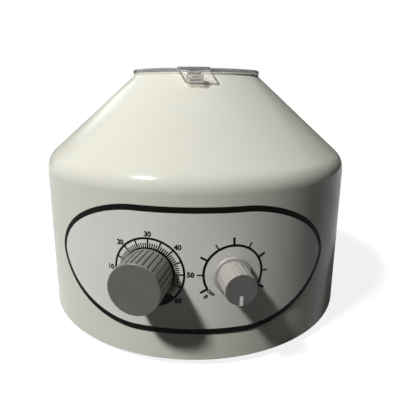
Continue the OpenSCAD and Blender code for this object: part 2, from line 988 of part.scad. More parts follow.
can_t = 2;
bearing_r = spindle_r + 4;
bearing_h = 5;
bearing_boss_r = bearing_r + 3;
bearing_boss_h = 5;
field_z = can_z + 11;
field_h = 16;
field_r = 20;
armature_gap = 0.6;

module motor_can() {
    color("slategray")
        difference() {
            revolve([
                [motor_r - can_t, can_z],
                [motor_r, can_z],
                [motor_r, can_top, 2.5],
                [bearing_boss_r, can_top, 1],
                [bearing_boss_r, can_top + bearing_boss_h, 0.6],
                [bearing_r, can_top + bearing_boss_h],
                [bearing_r, can_top + bearing_boss_h - bearing_h],
                [spindle_r + 1.5, can_top + bearing_boss_h - bearing_h],
                [spindle_r + 1.5, can_top - can_t],
                [motor_r - can_t, can_top - can_t, 1]
            ]);
            around(8, 0, motor_r - 11)
                translate([0, 0, can_top - 2 * can_t])
                    slot_cut(9, 3.5, 3 * can_t);
        }
}

module motor_end_bell() {
    color("slategray")
        difference() {
            revolve([
                [spindle_r + 1.5, motor_z],
                [motor_r, motor_z, 1],
                [motor_r, can_z],
                [bearing_r, can_z],
                [bearing_r, can_z - bearing_h],
                [spindle_r + 1.5, can_z - bearing_h]
            ]);
            around(motor_screw_count, 45, motor_screw_pitch_r)
                translate([0, 0, motor_z - 1])
                    cylinder(r = screw_r + touch, h = bell_h);
        }
}

module bearing(z) {
    color("lightgray")
        translate([0, 0, z])
            tube(bearing_r - touch, spindle_r + run_gap, bearing_h);
}

module lower_bearing() {
    bearing(can_z - bearing_h);
}

module upper_bearing() {
    bearing(can_top + bearing_boss_h - bearing_h);
}

module stator_core() {
    color("darkgray")
        translate([0, 0, field_z])
            tube(motor_r - can_t - touch, field_r, field_h);
}

coil_h = 3.5;

module field_coils() {
    color("peru")
        for (z = [field_z - coil_h, field_z + field_h])
            translate([0, 0, z])
                tube(motor_r - can_t - 1.5, field_r + 2, coil_h);
}

commutator_r = 9;
commutator_h = 6;
commutator_z = can_z + 0.8;
brush_w = 5;
brush_h = 4;
holder_t = 1.5;
holder_cap = 1;
holder_w = brush_w + 2 * holder_t;
brush_z = commutator_z + (commutator_h - brush_h) / 2;
holder_in = commutator_r + 2.5;
holder_out = motor_r - can_t - 1;

module brush_holders() {
    color("goldenrod")
        around(2)
            difference() {
                translate([holder_in, -holder_w / 2, can_z])
                    cube([holder_out - holder_in, holder_w, brush_z + brush_h + holder_cap - can_z]);
                translate([holder_in - holder_cap, -brush_w / 2, brush_z])
                    cube([holder_out - holder_in - holder_cap, brush_w, brush_h]);
            }
}

module carbon_brushes() {
    color("black")
        around(2)
            translate([commutator_r + slip_gap, -brush_w / 2 + run_gap, brush_z + run_gap])
                cube([holder_out - commutator_r - 5, brush_w - 2 * run_gap, brush_h - 2 * run_gap]);
}

// Spindle: shaft, armature, commutator and fan

shoulder_w = 2.5;
shoulder_l = 10;
thread_l = 11;

module motor_shaft() {
    color("silver")
        revolve([
            [0, can_z - bearing_h - 2],
            [spindle_r, can_z - bearing_h - 2, 0.5],
            [spindle_r, hub_z - shoulder_l],
            [spindle_r + shoulder_w, hub_z - shoulder_l, 0.5],
            [spindle_r + shoulder_w, hub_z],
            [spindle_r, hub_z],
            [spindle_r, hub_top + thread_l, 0.5],
            [0, hub_top + thread_l]
        ]);
}

armature_slots = 12;

module armature() {
    color("dimgray")
        translate([0, 0, field_z])
            difference() {
                tube(field_r - armature_gap, spindle_r + touch, field_h);
                around(armature_slots, 0, field_r - armature_gap)
                    translate([0, 0, -1])
                        cylinder(r = 1.6, h = field_h + 2, $fn = 24);
            }
}

winding_r = 15;
winding_h = 2.5;

module armature_winding() {
    color("sienna")
        for (z = [field_z - winding_h, field_z + field_h])
            translate([0, 0, z])
                tube(winding_r, spindle_r + touch, winding_h);
}

module commutator() {
    color("peru")
        translate([0, 0, commutator_z])
            tube(commutator_r, spindle_r + touch, commutator_h);
}

fan_blades = 9;
fan_hub_w = 3;
fan_disc_t = 1;
blade_t = 1;
fan_z = field_z + field_h + coil_h + 0.6;
fan_r = motor_r - can_t - 2;
fan_h = can_top - can_t - fan_z - 0.6;

module cooling_fan() {
    color("darkslategray")
        translate([0, 0, fan_z])
            union() {
                revolve([
                    [spindle_r + touch, 0],
                    [fan_r, 0],
                    [fan_r, fan_disc_t],
                    [spindle_r + fan_hub_w, fan_disc_t],
                    [spindle_r + fan_hub_w, fan_h],
                    [spindle_r + touch, fan_h]
                ]);
                around(fan_blades, 0, spindle_r + fan_hub_w - blade_t)
                    translate([0, -blade_t / 2, fan_disc_t / 2])
                        cube([fan_r - spindle_r - fan_hub_w - blade_t, blade_t, fan_h - fan_disc_t]);
            }
}

// Rotor: dished head, sleeves with cushions, washer and cap nut

dish_r = dish_d / 2;
flange_r = sleeve_r + 2.5;
sleeve_flange_t = 2;
rib_t = 3;
sleeve_boss_t = 2.5;
sleeve_boss_drop = 0.5;
bore_cut_l = hub_h + dish_t;

// Puts children at a sleeve's mouth: local +Z points along the tube, up and inwards
module at_sleeve(i) {
    rotate([0, 0, 360 * (i - 1) / tube_count - 90])
        translate([mouth_circle_r, 0, seat_z])
            rotate([0, -tube_tilt, 0])
                children();
}

function dish_z(r) = seat_z + (r - mouth_circle_r) * tan(tube_tilt);

module rotor_head() {
    drop = dish_t / cos(tube_tilt);
    color("silver")
        difference() {
            union() {
                revolve([
                    [spindle_r + touch, hub_z],
                    [hub_r - 3, hub_z, 1],
                    [hub_r, hub_z + 8],
                    [hub_r, dish_z(hub_r) - drop, 3],
                    [dish_r, dish_z(dish_r) - drop, 1.5],
                    [dish_r, dish_z(dish_r) + 1, 1.5],
                    [dish_r - 2.5, dish_z(dish_r) + 1, 0.8],
                    [dish_r - 3, dish_z(dish_r - 3)],
                    [hub_r + 1, dish_z(hub_r + 1), 1],
                    [hub_r - 2, hub_top],
                    [spindle_r + touch, hub_top]
                ]);
                around(tube_count, 180 / tube_count - 90)
                    rotate([90, 0, 0])
                        translate([0, 0, -rib_t / 2])
                            linear_extrude(height = rib_t)
                                polygon([
                                    [hub_r - 1, hub_z + 12],
                                    [hub_r - 1, dish_z(hub_r) - drop / 2],
                                    [dish_r - 6, dish_z(dish_r - 6) - drop / 2],
                                    [dish_r - 6, dish_z(dish_r - 6) - drop - 2]
                                ]);
                for (i = [1:tube_count])
                    at_sleeve(i)
                        translate([0, 0, -dish_t - sleeve_boss_drop])
                            cylinder(r = sleeve_r + sleeve_boss_t, h = dish_t);
            }
            for (i = [1:tube_count])
                at_sleeve(i) {
                    translate([0, 0, -bore_cut_l])
                        cylinder(r = sleeve_r + run_gap, h = 2 * bore_cut_l);
                    cylinder(r = flange_r + slip_gap, h = bore_cut_l);
                }
        }
}

sleeve_end_r = 7;

module tube_sleeve(i) {
    color("gainsboro")
        at_sleeve(i)
            revolve([
                [tube_r, sleeve_flange_t, 0.5],
                [tube_r, -sleeve_l + sleeve_t + sleeve_end_r],
                [tube_r - sleeve_end_r, -sleeve_l + sleeve_t],
                [0, -sleeve_l + sleeve_t],
                [0, -sleeve_l],
                [sleeve_r - sleeve_end_r, -sleeve_l],
                [sleeve_r, -sleeve_l + sleeve_end_r],
                [sleeve_r, 0],
                [flange_r, 0, 0.4],
                [flange_r, sleeve_flange_t, 0.8]
            ]);
}

cushion_t = 5;

module sleeve_cushions() {
    color("dimgray")
        for (i = [1:tube_count])
            at_sleeve(i)
                translate([0, 0, -sleeve_l + sleeve_t + slip_gap / 3])
                    revolve([
                        [0, 0],
                        [tube_r - sleeve_end_r - slip_gap, 0],
                        [tube_r - sleeve_end_r + cushion_t - 2 * slip_gap, cushion_t],
                        [3, cushion_t, 0.6],
                        [0, cushion_t - 1.5]
                    ]);
}

washer_t = 1.5;
washer_r = 9;
cap_across = 13;
cap_h = 6.5;

module rotor_washer() {
    color("gainsboro")
        translate([0, 0, hub_top])
            tube(washer_r, spindle_r + run_gap, washer_t);
}

module rotor_nut() {
    color("gainsboro")
        translate([0, 0, hub_top + washer_t])
            difference() {
                union() {
                    cylinder(d = cap_across / cos(30), h = cap_h, $fn = 6);
                    revolve([
                        [0, cap_h - 1],
                        [cap_across / 2 - 0.6, cap_h - 1],
                        [cap_across / 2 - 0.6, cap_h + 1.5],
                        [cap_across / 4, thread_l + 1.5, 2],
                        [0, thread_l + 1.5]
                    ]);
                }
                translate([0, 0, -1])
                    cylinder(r = spindle_r + touch, h = thread_l - washer_t + 1.2);
            }
}

// Speed control board on the base plate

board_w = 66;
board_l = 44;
board_t = 1.6;
board_screw_r = 1.5;
board_lift = 7;
board_angle = 180;
board_edge_gap = 42;
board_pitch_r = plate_r - board_edge_gap;
standoff_r = 3.5;
board_inset = 4;
board_z = plate_top + board_lift;

// Heat sink and its switch, capacitor, choke and terminal block
sink_t = 4;
sink_w = 20;
sink_h = 22;
sink_inset = 3;
switch_t = 4.5;
switch_w = 10;
switch_h = 14;
switch_lift = 6;
capacitor_d = 12;
capacitor_h = 20;
capacitor_inset = 10;
choke_d = 18;
choke_bore_d = 9;
choke_h = 8;
choke_inset = 5;
choke_side = 12.5;
block_l = 10;
block_w = 8;
block_h = 10;
block_side = 3;

module at_board() {
    rotate([0, 0, board_angle])
        translate([board_pitch_r, 0, 0])
            children();
}

module board_screw_places() {
    at_board()
        for (sx = [-1, 1], sy = [-1, 1])
            translate([sx * (board_l / 2 - board_inset), sy * (board_w / 2 - board_inset), 0])
                children();
}

module control_board() {
    color("seagreen")
        difference() {
            at_board()
                translate([-board_l / 2, -board_w / 2, board_z])
                    cube([board_l, board_w, board_t]);
            board_screw_places()
                translate([0, 0, board_z - 1])
                    cylinder(r = board_screw_r + slip_gap, h = board_t + 2);
        }
}

module board_standoffs() {
    color("gainsboro")
        board_screw_places()
            union() {
                translate([0, 0, plate_top])
                    cylinder(r = standoff_r, h = board_lift);
                translate([0, 0, plate_z - 1.5])
                    cylinder(r = board_screw_r, h = board_z + board_t + 1 - plate_z + 1.5);
                translate([0, 0, plate_z - 1.5])
                    cylinder(r = standoff_r, h = 1.5);
            }
}

module board_components() {
    top = board_z + board_t;
    color("midnightblue")
        at_board()
            translate([0, 0, top]) {
                translate([-board_l / 2 + sink_inset, -sink_w / 2, 0])
                    cube([sink_t, sink_w, sink_h]);
                translate([-board_l / 2 + sink_inset + sink_t + touch, -switch_w / 2, switch_lift])
                    cube([switch_t, switch_w, switch_h]);
                translate([
                    board_l / 2 - capacitor_d / 2 - capacitor_inset,
                    capacitor_d / 2 + capacitor_inset - board_w / 2 - 1,
                    0
                ])
                    cylinder(d = capacitor_d, h = capacitor_h);
                translate([
                    board_l / 2 - choke_d / 2 - choke_inset,
                    board_w / 2 - choke_d / 2 - choke_side,
                    0
                ])
                    tube(choke_d / 2, choke_bore_d / 2, choke_h);
                translate([
                    board_l / 2 - block_l - capacitor_inset,
                    board_w / 2 - block_w - block_side,
                    0
                ])
                    cube([block_l, block_w, block_h]);
            }
}

// Lid with its tongue and hinge knuckle

lid_r = rim_r + lid_over;
lid_top = top_z + lid_t;
spigot_gap = 0.6;
spigot_t = 2;
spigot_r = mouth_r - spigot_gap;
tongue_top = lid_top + tongue_raise;
tongue_z = tongue_top - tongue_t;
tongue_root = 8;
tongue_out = rim_r + tongue_reach;
clip_pin_r = clip_pin_d / 2;
clip_head_r = clip_pin_r + 0.9;
clip_pin_out = 3.9;
clip_pin_y = -(catch_r + clip_pin_out);
clip_pin_z = tongue_z - slip_gap - clip_head_r;
clip_lug_w = catch_w;

module lid_tongue() {
    translate([0, 0, tongue_z])
        linear_extrude(height = tongue_t)
            polygon(rounded([
                [-tongue_w / 2, -rim_r + tongue_root],
                [-tongue_w / 2, -tongue_out, 1.5],
                [tongue_w / 2, -tongue_out, 1.5],
                [tongue_w / 2, -rim_r + tongue_root]
            ]));
}

module clip_lug() {
    translate([clip_x - clip_lug_w / 2, 0, 0])
        rotate([90, 0, 90])
            linear_extrude(height = clip_lug_w)
                union() {
                    translate([clip_pin_y, clip_pin_z])
                        circle(r = clip_head_r);
                    translate([clip_pin_y - clip_head_r, clip_pin_z])
                        square([2 * clip_head_r, tongue_z + tongue_t / 2 - clip_pin_z]);
                }
}

module lid() {
    arm_lift = 0.4;
    color("slategray", 0.6)
        difference() {
            union() {
                revolve([
                    [0, top_z],
                    [spigot_r - spigot_t, top_z, 0.4],
                    [spigot_r - spigot_t, top_z - spigot_h, 0.4],
                    [spigot_r, top_z - spigot_h, 0.6],
                    [spigot_r, top_z],
                    [lid_r, top_z, 0.5],
                    [lid_r, lid_top, 1],
                    [0, lid_top]
                ]);
                lid_tongue();
                clip_lug();
                translate([-hinge_w / 2, rim_r - 6, top_z + arm_lift])
                    cube([hinge_w, hinge_back + 6, lid_t - arm_lift]);
                translate([-hinge_w / 2, hinge_y, hinge_z])
                    rotate([0, 90, 0])
                        cylinder(r = hinge_r, h = hinge_w);
            }
            translate([-hinge_w, hinge_y, hinge_z])
                rotate([0, 90, 0])
                    cylinder(d = hinge_pin_d + 2 * run_gap, h = 2 * hinge_w);
            translate([clip_x - clip_w, clip_pin_y, clip_pin_z])
                rotate([0, 90, 0])
                    cylinder(r = clip_pin_r + touch, h = 2 * clip_w);
        }
}

module hinge_pin() {
    color("silver")
        translate([-lug_x - lug_w, hinge_y, hinge_z])
            rotate([0, 90, 0])
                cylinder(d = hinge_pin_d, h = 2 * (lug_x + lug_w));
}

// Snap clip that hangs from the tongue

module clip_pin() {
    color("silver")
        translate([clip_x - clip_w / 2, clip_pin_y, clip_pin_z])
            rotate([0, 90, 0])
                cylinder(r = clip_pin_r, h = clip_w);
}

clip_bottom = catch_z - 0.7;
clip_top = clip_pin_z - 0.8;
clip_back = 0.6;
clip_bar_t = 0.9;
clip_front = clip_pin_out + clip_head_r + 0.3 + clip_bar_t;
clip_hook_in = catch_out + 0.6;
clip_hook_h = 1.6;
clip_rib_h = 0.9;
clip_rib_z = clip_bottom + clip_hook_h + 1.1;
clip_top_bar_h = 1.2;

module clip_cheek() {
    rotate([90, 0, 90])
        linear_extrude(height = clip_cheek_t)
            difference() {
                union() {
                    translate([clip_pin_y, clip_pin_z])
                        circle(r = clip_head_r);
                    polygon([
                        [clip_pin_y + clip_head_r, clip_pin_z],
                        [clip_pin_y - clip_head_r, clip_pin_z],
                        [-catch_r - clip_front, clip_top],
                        [-catch_r - clip_front, clip_bottom],
                        [-catch_r - clip_back - 1, clip_bottom],
                        [-catch_r - clip_back, clip_bottom + 1]
                    ]);
                }
                translate([clip_pin_y, clip_pin_z])
                    circle(r = clip_pin_r + run_gap);
            }
}

module clip_bar(z, h, from) {
    translate([clip_x - clip_w / 2 + touch, -catch_r - clip_front, z])
        cube([clip_w - 2 * touch, clip_front - from, h]);
}

module latch_clip() {
    color("lightgray", 0.6)
        union() {
            for (x = [clip_x - clip_w / 2, clip_x + clip_w / 2 - clip_cheek_t])
                translate([x, 0, 0])
                    clip_cheek();
            clip_bar(clip_bottom, clip_hook_h, clip_hook_in);
            clip_bar(clip_rib_z, clip_rib_h, clip_front - clip_bar_t);
            clip_bar(clip_top - clip_top_bar_h, clip_top_bar_h, clip_front - clip_bar_t);
        }
}

housing_shell();
latch_catch();
base_plate();
for (i = [1:foot_count])
    foot(i);
base_screws();
panel_label();
panel_border();
timer_case();
timer_nut();
timer_shaft();
timer_knob();
pot_case();
pot_nut();
pot_shaft();
speed_knob();
speed_pointer();
cord_gland();
gland_nut();
chamber_bowl();
bowl_screws();
shaft_seal();
for (i = [1:isolator_count])
    isolator(i);
isolator_nuts();
motor_plate();
motor_screws();
motor_can();
motor_end_bell();
lower_bearing();
upper_bearing();
stator_core();
field_coils();
brush_holders();
carbon_brushes();
motor_shaft();
armature();
armature_winding();
commutator();
cooling_fan();
rotor_head();
for (i = [1:tube_count])
    tube_sleeve(i);
sleeve_cushions();
rotor_washer();
rotor_nut();
control_board();
board_standoffs();
board_components();
lid();
hinge_pin();
clip_pin();
latch_clip();
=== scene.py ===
"""Benchtop centrifuge: finishes for its solids, printed dials on its panel, and a studio stage."""

import json
import math

import bpy
from bpy.props import FloatProperty, FloatVectorProperty, IntProperty, PointerProperty
from mathutils import Matrix, Quaternion, Vector


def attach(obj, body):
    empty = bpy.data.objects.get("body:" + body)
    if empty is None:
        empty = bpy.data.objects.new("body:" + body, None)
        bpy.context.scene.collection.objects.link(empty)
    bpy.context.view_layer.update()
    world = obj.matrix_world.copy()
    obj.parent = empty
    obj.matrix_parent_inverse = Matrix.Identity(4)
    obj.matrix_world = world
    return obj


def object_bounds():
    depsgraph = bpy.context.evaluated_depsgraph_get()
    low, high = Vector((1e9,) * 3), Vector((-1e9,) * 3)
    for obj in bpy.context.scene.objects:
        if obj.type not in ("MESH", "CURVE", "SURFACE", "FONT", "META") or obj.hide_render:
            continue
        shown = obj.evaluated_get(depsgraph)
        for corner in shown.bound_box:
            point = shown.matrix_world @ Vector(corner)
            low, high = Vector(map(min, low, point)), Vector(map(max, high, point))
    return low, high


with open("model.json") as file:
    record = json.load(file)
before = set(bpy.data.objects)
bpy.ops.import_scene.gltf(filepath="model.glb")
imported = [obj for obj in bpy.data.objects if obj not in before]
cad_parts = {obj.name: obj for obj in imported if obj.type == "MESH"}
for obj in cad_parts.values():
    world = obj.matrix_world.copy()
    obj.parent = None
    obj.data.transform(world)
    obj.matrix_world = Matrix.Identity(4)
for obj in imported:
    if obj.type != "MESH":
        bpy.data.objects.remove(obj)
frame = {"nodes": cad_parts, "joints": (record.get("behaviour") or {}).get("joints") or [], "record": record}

bl_info = {
    "name": "Benchtop Centrifuge",
    "version": (1, 0, 0),
    "blender": (4, 5, 0),
    "location": "View3D > Sidebar > Centrifuge",
    "description": "Finishes, printed dials and studio stage of a benchtop centrifuge",
    "category": "Object",
}

MM = 0.001
CAD_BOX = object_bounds()
NODES = frame["nodes"]
JOINTS = {joint["name"]: joint for joint in frame["joints"]}
SLOT_OF = {part["node"]: part["material_slot"] for part in frame["record"]["subparts"]}
FINISH = "_finish"

# Scales of the noise that breaks up the edges with rubbed wear and painted highlight, and the dust, per
# metre
RUB_SCALE = 900.0
DUST_SCALE = 70.0

# Depth below a knob's face over which the grip's colour turns into the face's darker colour, which is
# painted shade
FACE_SHADE_DEPTH = (0.5 * MM, 0.2 * MM)

# Largest angle of one step of a printed ring, and the fewest steps
ARC_STEP = math.radians(3)
ARC_LEAST = 8

# How far points may stand apart in height and still count as level
LEVEL_GAP = 0.5 * MM

# Distance beyond the lid's disc where only the tongue is left, and width of the tongue's side
TONGUE_CLEAR = 2 * MM
TONGUE_SIDE = 3 * MM

# Widths over which the lid's finish changes at its tongue and at the lug below
TONGUE_BLEND = 0.4 * MM
LUG_BLEND = 0.3 * MM

# How strongly clear acrylic bends light
ACRYLIC_IOR = 1.49

# Steps in the curves of a printed character, and round the dark cloth
CHARACTER_STEPS = 4
FLAG_STEPS = 48

# Width of the camera's sensor in millimetres, and the nearest distance that it sees
SENSOR_WIDTH = 36
CAMERA_NEAR = 10 * MM

# Sine of the height above which the room is lit
HORIZON = 0.2

# The floor: side, glow far away, colour in soft light, share of white close by, and reach of the fade
FLOOR_SIDE = 12
FLOOR_GLOW = 1.15
FLOOR_DIM = (0.06, 0.06, 0.06)
FLOOR_WHITE = 0.75
FLOOR_FADE = (0.5, 1.2)


def length(name, description, millimetres):
    """A size that a user may change, shown in the scene's length unit."""
    return FloatProperty(
        name=name, description=description, default=millimetres * MM, unit="LENGTH", precision=5
    )


def colour(name, description, value):
    """A linear colour that a user may change."""
    return FloatVectorProperty(
        name=name, description=description, default=value, size=3, subtype="COLOR", min=0, max=1
    )


def angle(name, description, degrees):
    """An angle that a user may change."""
    return FloatProperty(
        name=name, description=description, default=math.radians(degrees), subtype="ANGLE", unit="ROTATION"
    )


def amount(name, description, value):
    """A plain number that a user may change."""
    return FloatProperty(name=name, description=description, default=value, precision=4)


def whole(name, description, value):
    """A whole number that a user may change."""
    return IntProperty(name=name, description=description, default=value)


class TimerDialSizes(bpy.types.PropertyGroup):
    """Sizes of the minute scale printed round the timer knob."""

    ring: length("Outer ring", "Middle radius of the outer ring", 25)
    ring_line: length("Ring line", "Width of the outer ring's line", 1.5)
    inner: length("Inner ring", "Middle radius of the ring beside the knob", 17.8)
    inner_line: length("Inner line", "Width of the inner ring's line", 1.6)
    minute_end: length("Minute tick end", "Radius where a minute tick ends", 21.8)
    minute_line: length("Minute tick width", "Width of a minute tick", 0.85)
    five_line: length("Five-minute tick width", "Width of a tick that reaches the outer ring", 1.1)
    number_ring: length("Number ring", "Radius on which the numbers stand, measured across", 29.2)
    number_rise: length("Number rise", "Radius on which the numbers stand, measured upwards", 27.9)
    number_height: length("Number size", "Type size of the numbers", 5)
    wedge: angle("Wedge", "Angle of the black wedge that closes the scale", 32)
    minutes: whole("Minutes", "Longest time on the scale", 60)
    long_step: whole("Long tick step", "Minutes between the ticks that reach the outer ring", 5)
    number_step: whole("Number step", "Minutes between the numbers", 10)
    zero: angle("Zero", "Where the scale starts, from the right, turning left", 225)
    sweep: angle("Sweep", "Angle that the whole scale takes", 270)


class SpeedDialSizes(bpy.types.PropertyGroup):
    """Sizes of the speed scale printed round the speed knob."""

    ring: length("Ring", "Middle radius of the ring", 20.7)
    ring_line: length("Ring line", "Width of the ring's line", 1.65)
    long_end: length("Long tick end", "Radius where a long tick ends", 26.4)
    long_line: length("Long tick width", "Width of a long tick", 1.55)
    short_end: length("Short tick end", "Radius where a short tick ends", 25.2)
    short_line: length("Short tick width", "Width of a short tick", 1)
    steps: whole("Steps", "Steps from the first tick to the last", 8)
    zero: angle("Zero", "Where the scale starts, from the right, turning left", 210)
    sweep: angle("Sweep", "Angle that the whole scale takes", 240)
    shift: length("Shift", "How far the print stands to the right of the knob's axis", 1.2)
    number_ring: length("Number ring", "Radius of the zero", 25)
    word_ring: length("Word ring", "Radius of the word for the switched-off end", 20.7)
    mark_angle: angle("Mark angle", "Where the zero and the word stand", 220.5)
    number_height: length("Number size", "Type size of the zero", 4.4)
    word_height: length("Word size", "Type size of the word", 3.4)


class PrintSizes(bpy.types.PropertyGroup):
    """How the ink lies on the panel."""

    ink: length("Ink", "Thickness of the printed ink", 0.05)
    seat: length("Seat", "Gap between the panel's face and the ink", 0.01)
    bold: amount("Bold", "Thickening of the strokes, as a share of the type size", 0.046)


class Finishes(bpy.types.PropertyGroup):
    """Colours of the moulded, printed and metal surfaces."""

    shell: colour("Shell", "Warm white of the moulded housing", (0.755, 0.75, 0.66))
    shell_shade: colour("Shell shade", "Slightly aged tone of the housing", (0.74, 0.73, 0.636))
    dust: colour("Dust", "Dust that settles on upward faces", (0.5, 0.48, 0.43))
    panel: colour("Panel", "Face of the printed panel", (0.80, 0.797, 0.742))
    panel_shade: colour("Panel shade", "Deeper tone of the panel", (0.77, 0.767, 0.708))
    ink: colour("Ink", "Black of the border and the dials", (0.004, 0.004, 0.0035))
    ink_worn: colour("Worn ink", "Black where the ink is rubbed", (0.009, 0.009, 0.008))
    timer_grip: colour("Timer grip", "Grey of the timer knob's fluted grip", (0.26, 0.252, 0.23))
    # Painted shade: the timer knob's face grey is darker than its grip to stand in for the shade on the face
    timer_face: colour("Timer face", "Grey of the timer knob's face", (0.135, 0.131, 0.12))
    speed_grip: colour("Speed grip", "Light grey of the speed knob's fluted grip", (0.44, 0.425, 0.39))
    # Painted shade: the speed knob's face grey is darker than its grip to stand in for the shade on the face
    speed_face: colour("Speed face", "Grey of the speed knob's face", (0.135, 0.128, 0.118))
    # Lighter grey for the knobs' edges: partly rubbed wear, partly painted highlight
    rubbed: colour("Rubbed plastic", "Lighter grey of rubbed plastic edges", (0.5, 0.49, 0.46))
    pointer: colour("Pointer", "White of the speed knob's pointer", (0.97, 0.97, 0.96))
    lid: colour("Lid", "Smoke tint of the clear lid", (0.50, 0.485, 0.50))
    clip: colour("Clip", "Tint of the milky latch clip", (0.84, 0.83, 0.79))
    aluminium: colour("Aluminium", "Cast and turned aluminium", (0.74, 0.74, 0.75))
    steel: colour("Steel", "Bright steel of shafts and bearings", (0.58, 0.57, 0.56))
    zinc: colour("Zinc", "Zinc plating of plates and screws", (0.60, 0.61, 0.62))
    rubber: colour("Rubber", "Black rubber of feet and seals", (0.016, 0.016, 0.016))
    copper: colour("Copper", "Enamelled copper wire", (0.55, 0.22, 0.08))
    brass: colour("Brass", "Brass of holders and standoffs", (0.62, 0.45, 0.17))
    gland: colour("Gland", "Black of the cord gland", (0.02, 0.02, 0.02))
    motor: colour("Motor", "Paint of the motor's can", (0.09, 0.095, 0.1))
    carbon: colour("Carbon", "Carbon of the brushes", (0.025, 0.025, 0.027))
    fan: colour("Fan", "Black of the cooling fan", (0.03, 0.03, 0.03))
    phenolic: colour("Phenolic", "Brown moulding of the timer's case", (0.05, 0.025, 0.014))
    pot: colour("Speed control", "Grey case of the speed control", (0.22, 0.23, 0.24))
    board: colour("Board", "Green of the control board", (0.015, 0.11, 0.04))
    component: colour("Components", "Dark cases of the board's components", (0.03, 0.03, 0.034))


class ClearPlastic(bpy.types.PropertyGroup):
    """How the lid and the clip let light through."""

    lid: amount("Lid", "Share of the lid's plastic that is clear", 0.6)
    clip: amount("Clip", "Share of the clip's plastic that is clear", 0.2)
    face_light: amount("Face light", "Share of lamplight that passes a broad face", 0.82)
    rim_light: amount("Rim light", "Share of lamplight that passes the edge of the lid's disc", 0.7)
    tongue_light: amount("Tongue light", "Share of lamplight that passes the tongue's dull edges", 0.1)
    clip_light: amount("Clip light", "Share of lamplight that passes the clip's edges", 0.6)
    lug: amount("Lug", "How far the lug below the tongue takes the clip's tint", 0.75)


class StageSettings(bpy.types.PropertyGroup):
    """Camera, lamps and floor."""

    camera_place: FloatVectorProperty(
        name="Camera place", description="Where the camera stands", size=3, unit="LENGTH",
        default=(10.934 * MM, -368.419 * MM, 194.035 * MM),
    )
    camera_aim: FloatVectorProperty(
        name="Camera aim", description="Point that the camera looks at", size=3, unit="LENGTH",
        default=(4.234 * MM, 0, 86.87 * MM),
    )
    camera_roll: angle("Camera roll", "Turn of the camera about its own line of sight", 0.423)
    camera_lens: amount("Lens", "Focal length in millimetres on a 36 mm sensor", 34.125)
    key_turn: angle("Key turn", "Where the key lamp stands, from the front towards the left", 48.5)
    key_rise: angle("Key rise", "How high the key lamp stands", 50)
    key_level: amount("Key level", "Brightness of a white card that faces the key lamp", 1.045)
    key_reach: length("Key distance", "Distance of the key lamp", 5000)
    key_size: length("Key size", "Side of the key lamp", 460)
    rear_turn: angle("Rear turn", "Where the rear lamp stands, from the front towards the left", 142)
    rear_rise: angle("Rear rise", "How high the rear lamp stands", 25)
    rear_reach: length("Rear distance", "Distance of the rear lamp", 1300)
    rear_size: length("Rear size", "Side of the rear lamp", 300)
    rear_level: amount("Rear level", "Brightness of a white card that faces the rear lamp", 0.04)
    sky_level: amount("Sky level", "Light that comes straight down from the room", 0.09)
    ground_level: amount("Ground level", "Light that comes up from below", 0.0)
    floor: colour("Floor", "Pale floor", (0.9, 0.9, 0.9))
    flag_reach: length("Flag distance", "Distance of the dark cloth on the shaded side", 1500)
    flag_height: length("Flag height", "Height of the dark cloth", 1100)
    flag_front: amount("Flag front", "How far left the cloth reaches in front, in its distance", 0.35)
    flag_back: amount("Flag back", "How far left the cloth reaches behind, in its distance", 0.85)
    flag: colour("Flag", "Dark cloth that keeps stray light off the shaded side", (0.03, 0.03, 0.03))


class CentrifugeSettings(bpy.types.PropertyGroup):
    """All values of the centrifuge, in groups."""

    timer: PointerProperty(type=TimerDialSizes, name="Timer dial", description="Minute scale")
    speed: PointerProperty(type=SpeedDialSizes, name="Speed dial", description="Speed scale")
    ink: PointerProperty(type=PrintSizes, name="Print", description="Ink on the panel")
    looks: PointerProperty(type=Finishes, name="Finishes", description="Colours")
    clear: PointerProperty(type=ClearPlastic, name="Clear plastic", description="Lid and clip")
    stage: PointerProperty(type=StageSettings, name="Stage", description="Camera, lamps and floor")


def settings():
    """The scene's own values."""
    return bpy.context.scene.centrifuge


class Wiring:
    """Adds nodes to one node tree and joins their sockets."""

    def __init__(self, tree):
        self.tree = tree

    def feed(self, socket, value):
        """Joins a socket to another, or sets its own value."""
        if isinstance(value, bpy.types.NodeSocket):
            self.tree.links.new(value, socket)
        elif hasattr(socket.default_value, "__len__") and len(socket.default_value) == 4:
            socket.default_value = (*value[:3], 1)
        else:
            socket.default_value = value

    def add(self, kind, inputs=None, **options):
        """A new node with its options and inputs."""
        made = self.tree.nodes.new(kind)
        for name, value in options.items():
            setattr(made, name, value)
        for name, value in (inputs or {}).items():
            self.feed(made.inputs[name], value)
        return made

    def sum(self, operation, first, second=0.0):
        """Result of one arithmetic step."""
        return self.add("ShaderNodeMath", {0: first, 1: second}, operation=operation).outputs[0]

    def noise(self, where, scale, detail, rough=0.5, **options):
        """Value of a noise from 0 to 1."""
        inputs = {"Vector": where, "Scale": scale, "Detail": detail, "Roughness": rough}
        return self.add("ShaderNodeTexNoise", inputs, **options).outputs[0]

    def ramp(self, value, low, high, start=0.0, end=1.0):
        """A value moved from one range to another and held inside it."""
        inputs = {"Value": value, "From Min": low, "From Max": high, "To Min": start, "To Max": end}
        return self.add("ShaderNodeMapRange", inputs).outputs[0]

    def height(self, vector):
        """Z of a vector."""
        return self.add("ShaderNodeSeparateXYZ", {0: vector}).outputs["Z"]

    def mix(self, share, first, second):
        """A colour between two others."""
        made = self.add("ShaderNodeMix", data_type="RGBA")
        for index, value in ((0, share), (6, first), (7, second)):
            self.feed(made.inputs[index], value)
        return made.outputs[2]


SOCKETS = {"Vector": "NodeSocketVector", "Colour": "NodeSocketColor"}


def socket_kind(name):
    """Kind of a group socket, told from its name."""
    for ending, kind in SOCKETS.items():
        if name.endswith(ending):
            return kind
    return "NodeSocketFloat"


